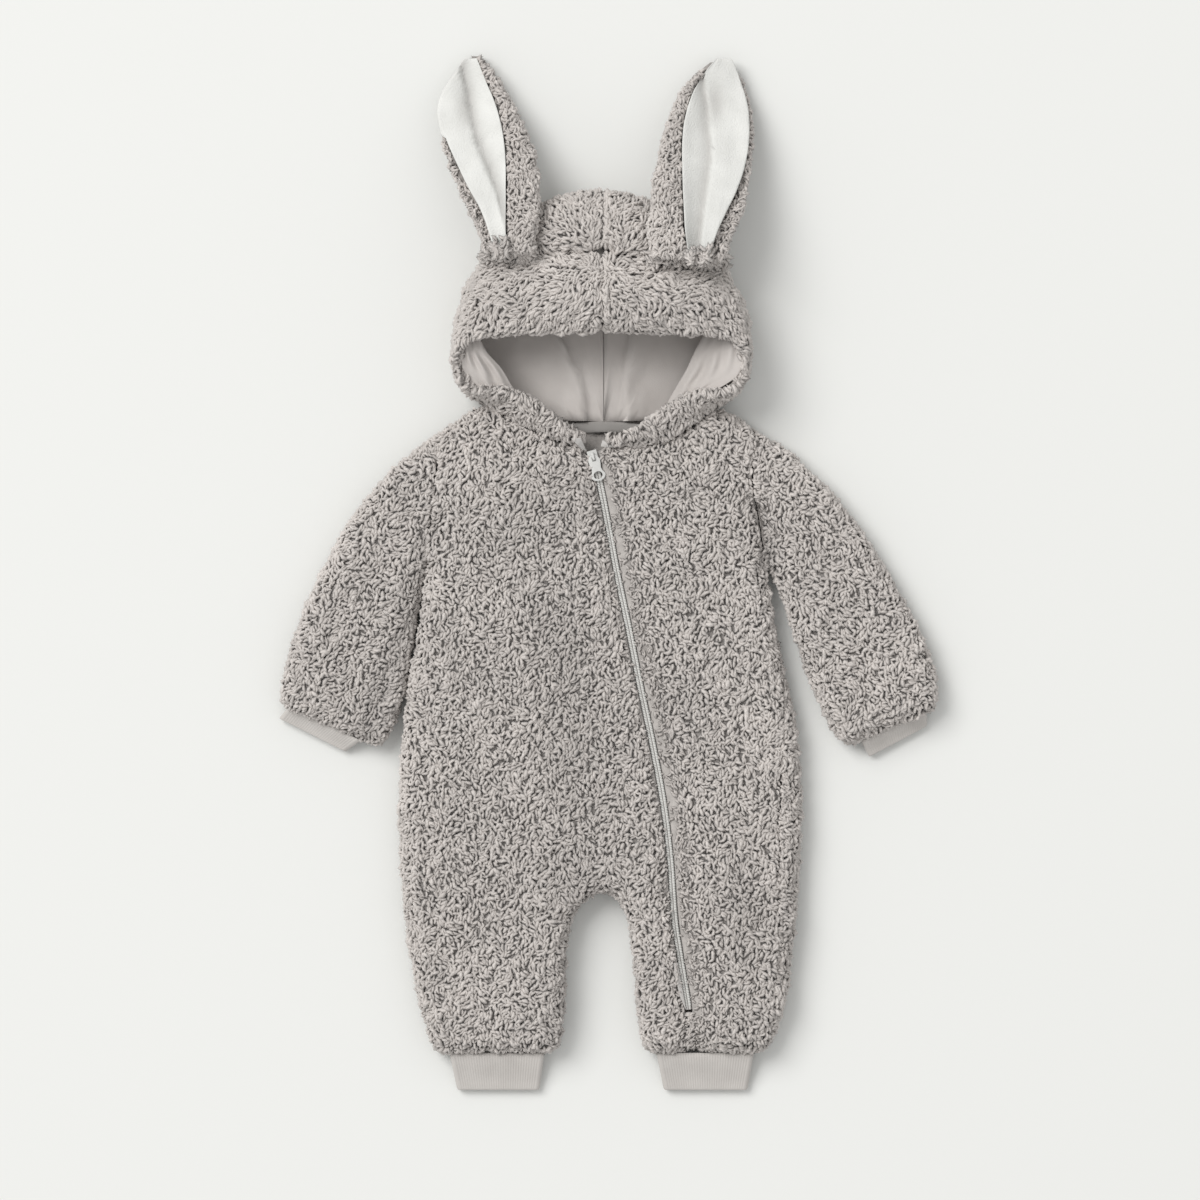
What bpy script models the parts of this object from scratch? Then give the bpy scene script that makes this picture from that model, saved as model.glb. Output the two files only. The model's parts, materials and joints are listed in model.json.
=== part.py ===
"""Baby romper in teddy fleece, with a hood and rabbit ears, lying on its back.

Every piece is a cloth wall worked out from sections: a plan outline says where the
garment's edge is, and a rounded edge profile says how the wall rises from it.
Sizes are in millimetres until a mesh is made. +X is the wearer's left, +Y runs from
the feet to the ears, and +Z points up from the surface that the back lies on.
"""

import math

import bmesh
import bpy
import numpy as np
from mathutils import Vector
from mathutils.geometry import delaunay_2d_cdt

MM = 0.001
CENTRING = (1.8, -1.0)  # moves the finished romper's box on to the origin

# ---- driving dimensions -------------------------------------------------------------
SEAM_GAP = 0.3  # clear space between two sewn pieces
FLEECE = 10.0  # fleece wall: knitted back and the curled pile on it
EDGE_ROUND = 14.0  # how far in from its outline the garment reaches full height
SEAM_HEIGHT = 12.0  # height of the side seams above the surface
HEIGHT_MIDDLE = 21.6  # top of the front where it lies on the back
HEIGHT_SIDES = 26.0  # top of the front beside the side seams
SIDE_FULLNESS = 34.0  # how far the fuller band beside the seams reaches in
NECK_LIFT = 8.0  # how much the hood holds the neckline up
CORNER_ROUND = 13.0  # rounded corners of the leg and sleeve hems
ARMHOLE_Y = 12.0  # where the sleeves leave the body
HEM_Y = -371.0  # bottom of the fleece legs
HEM_ZONE = 28.0  # length of leg that is drawn in to the hem
CROTCH = (-4.0, -246.0)
CUFF_HALF = 3.4  # half the thickness of a flat rib cuff
RIB = 2.9  # rib wall, knitted double
HEM_WALL = 3.4  # fleece wall squeezed at a cuff seam
HOOD_CENTRE = -5.0
HOOD_WALL = 9.0
HOOD_SQUEEZE = 3.6  # how much the wall is squeezed where it turns under at the shoulder
LINING = 1.2
LINING_GAP = 0.45  # space between the hood's fleece and its lining
LINING_SHORT = 2.0  # the lining ends this far inside the rim, and 3 times it from the neck
ZIP_HALF_GAP = 3.0  # half the space between the two fronts along the zip
ZIP_SINK = 4.6  # how far the fleece dips towards the zip
ZIP_VALLEY = 13.0  # width of that dip on each side
ZIP_WALL = 3.0  # fleece wall squeezed at the zip
ZIP_END_Y = -337.0
TAPE_BELOW = 9.6  # underside of the zip tape, below the front's top
TAPE = 0.9
COIL_TOP_BELOW = 5.8
COIL_HALF = 2.3
TAB_LENGTH = 19.5
TAB_WIDTH = 11.6

# Sides of the body: height along the body, wearer's right edge, wearer's left edge.
SIDES = (
    ("y", "right", "left"),
    (12.0, -142.0, 120.0),
    (-25.0, -146.5, 125.5),
    (-60.0, -152.5, 131.5),
    (-100.0, -158.5, 141.0),
    (-145.0, -162.5, 147.0),
    (-190.0, -164.0, 148.5),
    (-240.0, -161.5, 146.0),
    (-290.0, -156.0, 141.5),
    (-335.0, -147.0, 134.0),
    (-371.0, -137.0, 122.0),
)
# Armhole seams, from the shoulder down to the underarm.
ARMHOLE_RIGHT = ((-129, 115), (-133, 98), (-136, 75), (-140, 44), (-142, 12))
ARMHOLE_LEFT = ((113, 114), (110, 98), (110, 78), (115, 48), (120, 12))
# Neck seam, from the shoulder seam down to the zip.
NECK_RIGHT = ((-98, 134), (-84, 126), (-65, 115), (-52, 108), (-39, 104), (-19, 99))
NECK_LEFT = ((84, 131), (75, 125), (62, 115), (51, 108), (35, 102), (18, 99), (-10, 98))
BACK_NECK_Y = 114.0  # lowest point of the back neck seam
# Inseams: height along the leg, edge of the wearer's right leg, of the left leg.
INSEAMS = (
    ("y", "right", "left"),
    (-246.0, -4.0, -4.0),
    (-247.5, -11.0, 1.5),
    (-252.0, -18.5, 6.5),
    (-259.0, -26.0, 11.0),
    (-269.0, -31.0, 14.5),
    (-286.0, -34.0, 17.5),
    (-310.0, -34.8, 19.5),
    (-340.0, -36.0, 21.5),
    (-371.0, -39.0, 26.5),
)
# The zip's line, from the neck to the wearer's left hem.
ZIP_LINE = (
    ("y", "x"),
    (99.0, -15.0),
    (75.0, -8.5),
    (37.0, -1.0),
    (0.0, 6.0),
    (-40.0, 14.5),
    (-83.0, 23.0),
    (-130.0, 33.0),
    (-179.0, 42.0),
    (-222.0, 47.0),
    (-270.0, 50.5),
    (-314.0, 57.5),
    (-340.0, 61.5),
    (-371.0, 62.5),
)
# Sleeves: outer edge from the shoulder, inner edge from the underarm, to the hem.
SLEEVE_OUTER_RIGHT = (
    (-129, 115), (-148, 101), (-176, 75), (-202, 42), (-220, 11), (-235, -20), (-247, -51), (-254, -80), (-255, -102),
)
SLEEVE_INNER_RIGHT = ((-142.3, 12), (-149.3, -25), (-155.3, -60), (-162, -97), (-169, -115), (-178, -134))
SLEEVE_OUTER_LEFT = (
    (113, 114), (126, 106), (161, 76), (189, 44), (210, 12), (229, -20), (245, -52), (254, -81), (254, -104),
)
SLEEVE_INNER_LEFT = ((120.3, 12), (134, -17), (145, -50), (154, -77), (163, -98), (172, -116), (184, -133))
# Cuffs in plan: the two ends of the sewn edge, then of the open edge.
WRIST_RIGHT = ((-248, -99), (-194, -128), (-258, -111), (-206, -137))
WRIST_LEFT = ((246, -103), (195, -128), (247, -117), (202, -141))
ANKLE_RIGHT = ((-125, HEM_Y), (-51, HEM_Y), (-119, -400.6), (-55, -400.6))
ANKLE_LEFT = ((36, HEM_Y), (112, HEM_Y), (42, -400.6), (107, -400.6))
# Large folds in the front and sleeves: ends in plan, how deep, how wide.
FOLDS = (
    ("x0", "y0", "x1", "y1", "depth", "width"),
    (-50.0, -40.0, -48.0, -215.0, 2.6, 20.0),
    (119.0, 66.0, 139.0, 0.0, 5.0, 11.0),
    (141.0, 82.0, 170.0, 20.0, 2.6, 13.0),
    (-146.0, 84.0, -158.0, 22.0, 3.4, 13.0),
    (-190.0, 20.0, -178.0, -60.0, 2.0, 16.0),
    (90.0, -90.0, 96.0, -300.0, 2.0, 20.0),
)
# Side seam of the wearer's left: it comes up on to the front below the waist.
WRAP = (("y", "degrees"), (-40.0, 0.0), (-75.0, 22.0), (-115.0, 66.0), (-310.0, 66.0), (-345.0, 50.0), (-367.0, 0.0), (-371.0, 0.0))

# Hood stations from the zip top round the opening to the centre of the brim. Rim is
# the outer surface's edge, seat is the neck seam or, from the shoulder, the outline.
HOOD_RIGHT = (
    ("rim_x", "rim_y", "rim_z", "seat_x", "seat_y"),
    (-22.0, 106.5, 33.5, -21.0, 99.6),
    (-34.0, 115.5, 37.0, -40.0, 104.5),
    (-47.0, 125.5, 40.0, -60.0, 112.5),
    (-62.0, 137.0, 43.5, -79.0, 123.2),
    (-84.0, 141.5, 46.5, -91.5, 130.4),
    (-101.0, 142.5, 49.0, -98.2, 134.5),
    (-112.5, 148.0, 51.0, -111.0, 141.5),
    (-119.0, 159.0, 53.0, -120.0, 155.0),
    (-119.0, 170.0, 55.0, -122.0, 176.0),
    (-109.0, 180.0, 57.0, -119.0, 198.0),
    (-90.0, 184.0, 59.0, -111.0, 224.0),
    (-70.0, 185.0, 61.0, -98.0, 250.0),
    (-49.0, 185.0, 62.5, -74.0, 278.0),
    (-26.0, 185.5, 63.5, -41.0, 298.0),
    (-5.0, 186.0, 64.0, -5.0, 303.0),
)
HOOD_LEFT = (
    ("rim_x", "rim_y", "rim_z", "seat_x", "seat_y"),
    (1.0, 106.5, 33.5, 1.0, 99.0),
    (18.0, 113.0, 37.0, 28.0, 100.8),
    (36.0, 125.0, 40.0, 48.0, 106.8),
    (50.0, 134.5, 43.5, 64.0, 116.2),
    (70.0, 141.0, 46.5, 76.0, 125.6),
    (87.0, 141.0, 49.0, 84.2, 131.5),
    (98.5, 146.0, 51.0, 97.0, 140.0),
    (105.0, 157.0, 53.0, 106.0, 155.0),
    (106.0, 168.0, 55.0, 109.0, 174.0),
    (98.0, 179.0, 57.0, 107.0, 198.0),
    (80.0, 184.0, 59.0, 99.0, 222.0),
    (60.0, 185.0, 61.0, 86.0, 246.0),
    (39.0, 185.0, 62.5, 63.0, 273.0),
    (16.0, 185.5, 63.5, 31.0, 295.0),
    (-5.0, 186.0, 64.0, -5.0, 303.0),
)
SHOULDER_STATION = 5  # the station at the shoulder seam, where the outline starts
HOOD_MID = 24.0  # height of the hood's outline above the surface
HOOD_UNDER = 22.0  # how far its edge rounds in underneath
BAND_RISE = 11.0  # the brim band swells above its two edges
CROWN_RISE = 3.0
# The seam between brim band and crown, across the hood.
RIDGE_SEAM = (("x", "y"), (-100.0, 238.0), (-70.0, 245.0), (-5.0, 245.0), (50.0, 237.0), (88.0, 229.0))
RIDGE_DIP = 6.5
RIDGE_WIDTH = 9.0

# Ears: stations from the hood to the tip. Outer and inner are the ear's edges away
# from and towards the other ear, and white_* are the edges of its pale inside.
EAR_RIGHT = (
    ("y", "outer", "white_outer", "white_inner", "inner", "base_z"),
    (247.0, -97.0, -88.0, -79.0, -60.0, 58.0),
    (262.0, -100.5, -93.0, -80.5, -57.0, 53.3),
    (280.0, -108.0, -98.5, -80.5, -54.5, 46.4),
    (300.0, -117.5, -110.0, -80.5, -54.5, 38.0),
    (322.0, -125.5, -120.0, -80.5, -56.0, 28.4),
    (345.0, -132.5, -130.0, -83.0, -65.0, 18.0),
    (366.0, -134.0, -132.5, -88.5, -74.5, 9.0),
    (384.0, -125.0, -124.0, -96.0, -85.0, 4.0),
    (397.0, -116.0, -115.0, -103.0, -95.0, 1.5),
    (402.6, -109.0, -108.5, -104.5, -101.5, 0.8),
)
EAR_LEFT = (
    ("y", "outer", "white_outer", "white_inner", "inner", "base_z"),
    (243.0, 88.0, 76.0, 62.0, 35.0, 62.0),
    (258.0, 93.0, 80.0, 58.0, 28.0, 57.5),
    (277.0, 101.0, 88.0, 57.0, 30.0, 50.0),
    (298.0, 106.5, 98.5, 56.0, 33.0, 40.0),
    (322.0, 109.0, 106.0, 55.5, 36.5, 29.0),
    (345.0, 111.5, 108.5, 56.0, 42.0, 18.0),
    (366.0, 109.5, 107.5, 60.5, 50.0, 9.0),
    (384.0, 103.5, 102.0, 68.0, 60.5, 4.0),
    (397.0, 97.0, 96.0, 81.0, 75.5, 1.5),
    (401.6, 93.0, 92.0, 87.0, 84.0, 0.8),
)
EAR_WALL = 5.5
EAR_ROLL = 19.0  # height of the roll along the ear's inner edge
PLUSH = 3.0

ON_EDGE = 0.5  # points this near an edge take its own outward side
ROUND_STEPS = (0.0, 25.0, 50.0, 72.0, 90.0)  # degrees round an edge profile
PANEL_STEP = 16.0  # distance between corners along a panel's edge
BEND_STEP = 20.0  # degrees of bend that add a corner
FIELD_STEP = 26.0  # distance between corners inside a panel
SLEEVE_CELLS = 4
SLEEVE_RINGS = 9
SECTION_POINTS = 40
HOOD_STATIONS = np.array([0, 1, 2, 3, 4, 5, 5.6, 6.3, 7, 8, 9, 9.5, 10, 10.5, 11, 12, 13, 14])
HOOD_BACK_FROM = 6  # the first station where the hood's back piece has any width
BACK_START = 0.6  # how far past the shoulder station that is
RIDGE_UNDER = 26.0  # how far under the hood's side the band's seam runs
HOOD_BEND = 0.5  # millimetres of length that a degree of bend counts as
BAND_CELLS = 7
BACK_CELLS = 10
NECK_STATIONS = np.array([0, 1, 2, 3, 4, 5])
BACK_STATIONS = np.array([5, 5.6, 6.3, 7, 8, 9, 9.5, 10, 10.5, 11, 12, 13, 14])
EAR_RINGS = 13
TAPE_Z = 10.9
TAPE_REACH = 7.2
SLIDER_Y = 92.8
SLIDER_LENGTH = 9.6
SLIDER_WIDTH = 7.6
PLATE = 1.3
BRIDGE_HALF = 0.9
COIL_STOP = 2.9  # the coils end this far above the slider's middle
TAB = 1.1
PIVOT_ABOVE = 1.15
TAB_TILT = 4.0
SEAM_TURN = 1.3  # degrees round the edge that make a seam's gap
CUFF_DROOP = 4.0


# ---- curves -------------------------------------------------------------------------
def column(table, name):
    """One named column of a table."""
    return np.array([row[table[0].index(name)] for row in table[1:]], float)


def smooth(xs, ys, x):
    """Cubic curve through a table's points, read at x (Hermite, mean slopes)."""
    xs, ys, x = np.asarray(xs, float), np.asarray(ys, float), np.asarray(x, float)
    if xs[0] > xs[-1]:
        xs, ys = xs[::-1], ys[::-1]
    slopes = np.gradient(ys, xs)
    x = np.clip(x, xs[0], xs[-1])
    i = np.clip(np.searchsorted(xs, x) - 1, 0, len(xs) - 2)
    h = xs[i + 1] - xs[i]
    t = (x - xs[i]) / h
    return (
        (2 * t**3 - 3 * t**2 + 1) * ys[i]
        + (t**3 - 2 * t**2 + t) * h * slopes[i]
        + (3 * t**2 - 2 * t**3) * ys[i + 1]
        + (t**3 - t**2) * h * slopes[i + 1]
    )


def lengths(path):
    """Running length along a path's points."""
    return np.concatenate([[0], np.cumsum(np.linalg.norm(np.diff(path, axis=0), axis=1))])


def along(path, share):
    """Points of a path at shares of its length."""
    run = lengths(path)
    share = np.asarray(share, float) * run[-1]
    return np.stack([np.interp(share, run, path[:, k]) for k in range(path.shape[1])], axis=-1)


def curve(points, step=2.0):
    """A smooth path through points, one point about every step."""
    points = np.array(points, float)
    run = lengths(points)
    at = np.linspace(0, run[-1], max(int(run[-1] / step), 2) + 1)
    return np.stack([smooth(run, points[:, k], at) for k in range(points.shape[1])], axis=-1)


def round_corner(first, second, radius):
    """Two paths that meet in a corner, each with half of the arc that rounds it."""
    corner = first[-1]
    into = corner - first[-4]
    out = second[3] - corner
    into, out = into / np.linalg.norm(into), out / np.linalg.norm(out)
    turn = math.acos(float(np.clip(into @ out, -1, 1)))
    trim = radius * math.tan(turn / 2)
    run = lengths(first)
    head = first[run < run[-1] - trim]
    tail = second[lengths(second) > trim]
    side = np.sign(into[0] * out[1] - into[1] * out[0])
    centre = corner - into * trim + radius * side * np.array([-into[1], into[0]])
    start = corner - into * trim - centre
    angles = side * np.linspace(0, turn, 13)
    arc = centre + np.stack(
        [
            start[0] * np.cos(angles) - start[1] * np.sin(angles),
            start[0] * np.sin(angles) + start[1] * np.cos(angles),
        ],
        axis=-1,
    )
    return np.vstack([head, arc[:7]]), np.vstack([arc[6:], tail])


def step_up(value):
    """0 below 0, 1 above 1, smooth between."""
    value = np.clip(value, 0, 1)
    return value * value * (3 - 2 * value)


# ---- the plan -----------------------------------------------------------------------
def side_x(side, y):
    return smooth(column(SIDES, "y"), column(SIDES, side), y)


def inseam_x(side, y):
    return smooth(column(INSEAMS, "y"), column(INSEAMS, side), y)


def zip_x(y):
    return smooth(column(ZIP_LINE, "y"), column(ZIP_LINE, "x"), y)


def zip_gap(y):
    """Half the space between the fronts along the zip: wider round the slider."""
    return ZIP_HALF_GAP + 1.9 * step_up((y - 80) / 7)


def body_path(side):
    y = np.linspace(ARMHOLE_Y, HEM_Y, 130)
    return np.stack([side_x(side, y), y], axis=-1)


def inseam_path(side):
    rows = np.array([row for row in INSEAMS[1:]])
    index = INSEAMS[0].index(side)
    return curve(rows[:, [index, 0]])


def hem_path(side):
    """Leg hem from the outer side to the inseam."""
    ends = (side_x(side, HEM_Y), inseam_x(side, HEM_Y))
    return np.stack([np.linspace(*ends, 40), np.full(40, HEM_Y)], axis=-1)


def leg_outline(side):
    """Outer side, hem and inseam of a leg, its two corners rounded."""
    outer, hem = round_corner(body_path(side), hem_path(side), CORNER_ROUND)
    hem, inner = round_corner(hem, inseam_path(side)[::-1], CORNER_ROUND)
    return outer, hem, inner[::-1]


def sleeve_outline(outer, inner):
    """Outer edge, hem and inner edge of a sleeve, its two corners rounded."""
    outer, inner = curve(outer), curve(inner)
    hem = np.linspace(outer[-1], inner[-1], 40)
    outer, hem = round_corner(outer, hem, CORNER_ROUND * 0.8)
    hem, inner = round_corner(hem, inner[::-1], CORNER_ROUND * 0.8)
    return outer, hem, inner[::-1]


LEGS = {side: leg_outline(side) for side in ("right", "left")}
SLEEVES = {
    "right": sleeve_outline(SLEEVE_OUTER_RIGHT, SLEEVE_INNER_RIGHT),
    "left": sleeve_outline(SLEEVE_OUTER_LEFT, SLEEVE_INNER_LEFT),
}
ARMHOLES = {"right": curve(ARMHOLE_RIGHT), "left": curve(ARMHOLE_LEFT)}
NECKS = {"right": curve(NECK_RIGHT), "left": curve(NECK_LEFT)}
SHOULDERS = {
    "right": np.linspace(ARMHOLE_RIGHT[0], NECK_RIGHT[0], 12),
    "left": np.linspace(ARMHOLE_LEFT[0], NECK_LEFT[0], 12),
}


def segments():
    """All rounded edges in plan: start points, end points, and whose edge each is."""
    paths = [(0, path) for path in SHOULDERS.values()]
    owned = [(0, LEGS["right"]), (0, LEGS["left"]), (1, SLEEVES["right"]), (2, SLEEVES["left"])]
    paths += [(owner, path) for owner, outline in owned for path in outline]
    starts = np.vstack([path[:-1] for _, path in paths])
    ends = np.vstack([path[1:] for _, path in paths])
    return starts, ends, np.concatenate([[owner] * (len(path) - 1) for owner, path in paths])


EDGE_START, EDGE_END, EDGE_OWNER = segments()
HEM_PATHS = [LEGS["right"][1], LEGS["left"][1], SLEEVES["right"][1], SLEEVES["left"][1]]


def nearest(points, starts, ends):
    """Distance to the nearest segment, the vector to it, and which segment it is."""
    line = ends - starts
    length2 = (line**2).sum(1)
    offset = points[:, None] - starts[None]
    share = np.clip((offset * line).sum(2) / length2, 0, 1)
    gap = offset - share[..., None] * line
    distance = np.linalg.norm(gap, axis=2)
    best = distance.argmin(1)
    rows = np.arange(len(points))
    return distance[rows, best], -gap[rows, best], best


def edge_field(points):
    """For plan points: distance in from the outline, and the way out."""
    near, towards, best = nearest(points, EDGE_START, EDGE_END)
    away = towards / np.maximum(near, 1e-9)[:, None]
    return near, np.where((near < ON_EDGE)[:, None], EDGE_OUT[best], away)


def in_polygon(points, polygon):
    """Even-odd test of plan points against one polygon."""
    a, b = polygon, np.roll(polygon, -1, axis=0)
    crosses = (a[None, :, 1] > points[:, None, 1]) != (b[None, :, 1] > points[:, None, 1])
    rise = np.where(b[:, 1] == a[:, 1], 1e-9, b[:, 1] - a[:, 1])
    where = a[None, :, 0] + (points[:, None, 1] - a[None, :, 1]) * ((b - a)[:, 0] / rise)[None]
    return ((crosses & (points[:, None, 0] < where)).sum(1) % 2).astype(bool)


def plan_polygons():
    """Body and sleeves as closed polygons."""
    body = np.vstack(
        [
            ARMHOLES["right"],
            LEGS["right"][0],
            LEGS["right"][1],
            LEGS["right"][2][::-1],
            LEGS["left"][2],
            LEGS["left"][1][::-1],
            LEGS["left"][0][::-1],
            ARMHOLES["left"][::-1],
            SHOULDERS["left"],
            SHOULDERS["right"][::-1],
        ]
    )
    sleeves = [
        np.vstack([outer, hem, inner[::-1], ARMHOLES[side][::-1]])
        for side, (outer, hem, inner) in SLEEVES.items()
    ]
    return [body, *sleeves]


def outward_sides():
    """Unit vector out of the cloth for each segment of the outline."""
    line = EDGE_END - EDGE_START
    across = np.stack([line[:, 1], -line[:, 0]], axis=-1)
    across /= np.linalg.norm(across, axis=1)[:, None]
    probe = (EDGE_START + EDGE_END) / 2 + across * 0.5
    inside = np.stack([in_polygon(probe, polygon) for polygon in plan_polygons()])
    own = inside[EDGE_OWNER, np.arange(len(line))]
    return np.where(own[:, None], -across, across)


EDGE_OUT = outward_sides()


# ---- heights of the body and sleeves ------------------------------------------------
def fold_dip(points):
    """Depth of the large folds at plan points."""
    dip = np.zeros(len(points))
    for x0, y0, x1, y1, depth, width in FOLDS[1:]:
        near = nearest(points, np.array([[x0, y0]]), np.array([[x1, y1]]))[0]
        dip += depth * np.exp(-((near / width) ** 2))
    return dip


def zip_nearness(points):
    """1 at the edge of a front along the zip, 0 a valley's width away from it."""
    off = np.abs(points[:, 0] - zip_x(points[:, 1])) * 0.98 - zip_gap(points[:, 1])
    ends = step_up((points[:, 1] - ZIP_END_Y + 24) / 22)
    return (1 - step_up(off / ZIP_VALLEY)) * ends


def plain_height(points, near):
    """Height of the front's top, before folds, the zip's dip and the round edge."""
    full = np.exp(-((np.maximum(near - EDGE_ROUND, 0) / SIDE_FULLNESS) ** 2))
    lift = NECK_LIFT * step_up((points[:, 1] - 35) / 55)
    lift *= np.exp(-(((points[:, 0] - HOOD_CENTRE) / 75) ** 2))
    return HEIGHT_MIDDLE + (HEIGHT_SIDES - HEIGHT_MIDDLE) * full * (1 - lift / NECK_LIFT) + lift


def wall_thickness(points, top):
    hems = [nearest(points, path[:-1], path[1:])[0] for path in HEM_PATHS]
    hem = 1 - step_up(np.min(hems, axis=0) / 17)
    wall = FLEECE + (HEM_WALL - FLEECE) * hem
    if top:
        wall = wall + (ZIP_WALL - wall) * zip_nearness(points)
    return wall


def cloth(points, top):
    """Outer and inner points of the body's wall over plan points, top or underside."""
    flat = np.asarray(points, float).reshape(-1, 2)
    near, out = edge_field(flat)
    slack = 1 - np.minimum(near / EDGE_ROUND, 1)
    rise = np.sqrt(1 - slack**2)
    if top:
        height = plain_height(flat, near) - fold_dip(flat) - ZIP_SINK * zip_nearness(flat)
        low, tall = SEAM_HEIGHT + SEAM_GAP / 2, height - SEAM_HEIGHT - SEAM_GAP / 2
    else:
        low, tall = SEAM_HEIGHT - SEAM_GAP / 2, np.full(len(flat), -(SEAM_HEIGHT - SEAM_GAP / 2))
    outer = np.column_stack([flat, low + tall * rise])
    normal = np.column_stack([out * (slack / EDGE_ROUND)[:, None], rise / tall])
    normal /= np.linalg.norm(normal, axis=1)[:, None]
    inner = outer - normal * wall_thickness(flat, top)[:, None]
    if top:
        deep = near > EDGE_ROUND
        inner[deep, 2] = np.maximum(inner[deep, 2], FLEECE + SEAM_GAP)
    shape = np.asarray(points).shape[:-1] + (3,)
    return outer.reshape(shape), inner.reshape(shape)


# ---- meshes -------------------------------------------------------------------------
def make_material(name, colour, roughness, metallic=0.0):
    material = bpy.data.materials.new(name)
    material.use_nodes = True
    shader = material.node_tree.nodes["Principled BSDF"]
    shader.inputs["Base Color"].default_value = (*colour, 1)
    shader.inputs["Roughness"].default_value = roughness
    shader.inputs["Metallic"].default_value = metallic
    return material


def make_object(name, points, faces, material):
    mesh = bpy.data.meshes.new(name)
    mesh.from_pydata([tuple(p) for p in np.asarray(points) * MM], [], faces)
    mesh.materials.append(material)
    mesh.shade_smooth()
    mesh.set_sharp_from_angle(angle=math.radians(50))
    part = bpy.data.objects.new(name, mesh)
    bpy.context.collection.objects.link(part)
    part.parent = ROMPER
    return part


def grid_faces(shape):
    """Triangles of a grid of points, all split along the same diagonal."""
    index = np.arange(shape[0] * shape[1]).reshape(shape)
    a, b, c, d = index[:-1, :-1], index[1:, :-1], index[1:, 1:], index[:-1, 1:]
    return np.concatenate([np.stack(t, axis=-1).reshape(-1, 3) for t in ((a, b, c), (a, c, d))]).tolist()


def sheet(outer, inner):
    """A grid of outer and inner points as flat lists with their faces."""
    return outer.reshape(-1, 3), inner.reshape(-1, 3), grid_faces(outer.shape[:2])


def faces_outward(outside, inside, loops):
    """Whether a surface's faces look away from its inner points."""
    first, second, third = (outside[[loop[k] for loop in loops]] for k in range(3))
    away = (outside - inside)[[loop[1] for loop in loops]]
    return (np.cross(second - first, third - first) * away).sum() > 0


def wall(name, surfaces, material):
    """A cloth wall as one closed solid.

    Each surface gives outer points, inner points and faces. Corners that coincide are
    shared, and the open border is closed by a strip between the outer and inner side.
    """
    index_of, outer, inner, faces = {}, [], [], []
    for outside, inside, loops in surfaces:
        index = []
        for out_point, in_point in zip(outside, inside):
            key = tuple(np.round(out_point, 3))
            if key not in index_of:
                index_of[key] = len(outer)
                outer.append(out_point)
                inner.append(in_point)
            index.append(index_of[key])
        turn = 1 if faces_outward(outside, inside, loops) else -1
        for loop in loops:
            loop = [index[corner] for corner in loop[::turn]]
            loop = [corner for k, corner in enumerate(loop) if corner != loop[k - 1]]
            if len(set(loop)) > 2:
                faces.append(loop)
    outer, inner = np.array(outer), np.array(inner)
    count = len(outer)
    edges = {(face[k - 1], face[k]) for face in faces for k in range(len(face))}
    border = sorted(edge for edge in edges if edge[::-1] not in edges)
    rank = outer[:, 1] + 0.6 * np.abs(outer[:, 0])  # so that two sewn edges split alike
    rim = []
    for a, b in border:
        c, d = a + count, b + count
        rim += [(b, a, d), (a, c, d)] if rank[a] < rank[b] else [(b, a, c), (b, c, d)]
    back = [[corner + count for corner in face[::-1]] for face in faces]
    return make_object(name, np.vstack([outer, inner]), faces + back + rim, material)


# ---- body panels --------------------------------------------------------------------
def edge_steps():
    """Distances in from an edge, evenly round its profile up to the full height."""
    return EDGE_ROUND * (1 - np.cos(np.radians(ROUND_STEPS)))


def bend_lengths(path):
    """Running length along a path in cells, counting bends as well as distance."""
    line = np.diff(path, axis=0)
    size = np.linalg.norm(line, axis=1)
    unit = line / size[:, None]
    turn = np.degrees(np.arccos(np.clip((unit[1:] * unit[:-1]).sum(1), -1, 1)))
    turn = np.concatenate([[0], turn]) / BEND_STEP
    return np.concatenate([[0], np.cumsum(size / PANEL_STEP + turn)])


def sample(path):
    """Corners along a path, closer together where it bends."""
    run = bend_lengths(path)
    at = np.linspace(0, run[-1], max(int(round(run[-1])), 1) + 1)
    return np.stack([np.interp(at, run, path[:, k]) for k in range(2)], axis=-1)


def inset_hem(points, cuff, top):
    """Hem points moved in so that the wall ends just off the cuff."""
    first, last = np.array(cuff[0]), np.array(cuff[1])
    half = np.linalg.norm(last - first) / 2
    share = np.clip(np.linalg.norm(points - (first + last) / 2, axis=1) / (half + 1), 0, 1)
    lift = (CUFF_HALF + SEAM_GAP) * (1 - share**4) ** 0.5
    tall = (HEIGHT_SIDES if top else 2 * SEAM_HEIGHT) - SEAM_HEIGHT
    inset = EDGE_ROUND * (1 - np.sqrt(1 - (lift / tall) ** 2))
    return points - edge_field(points)[1] * inset[:, None]


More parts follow.
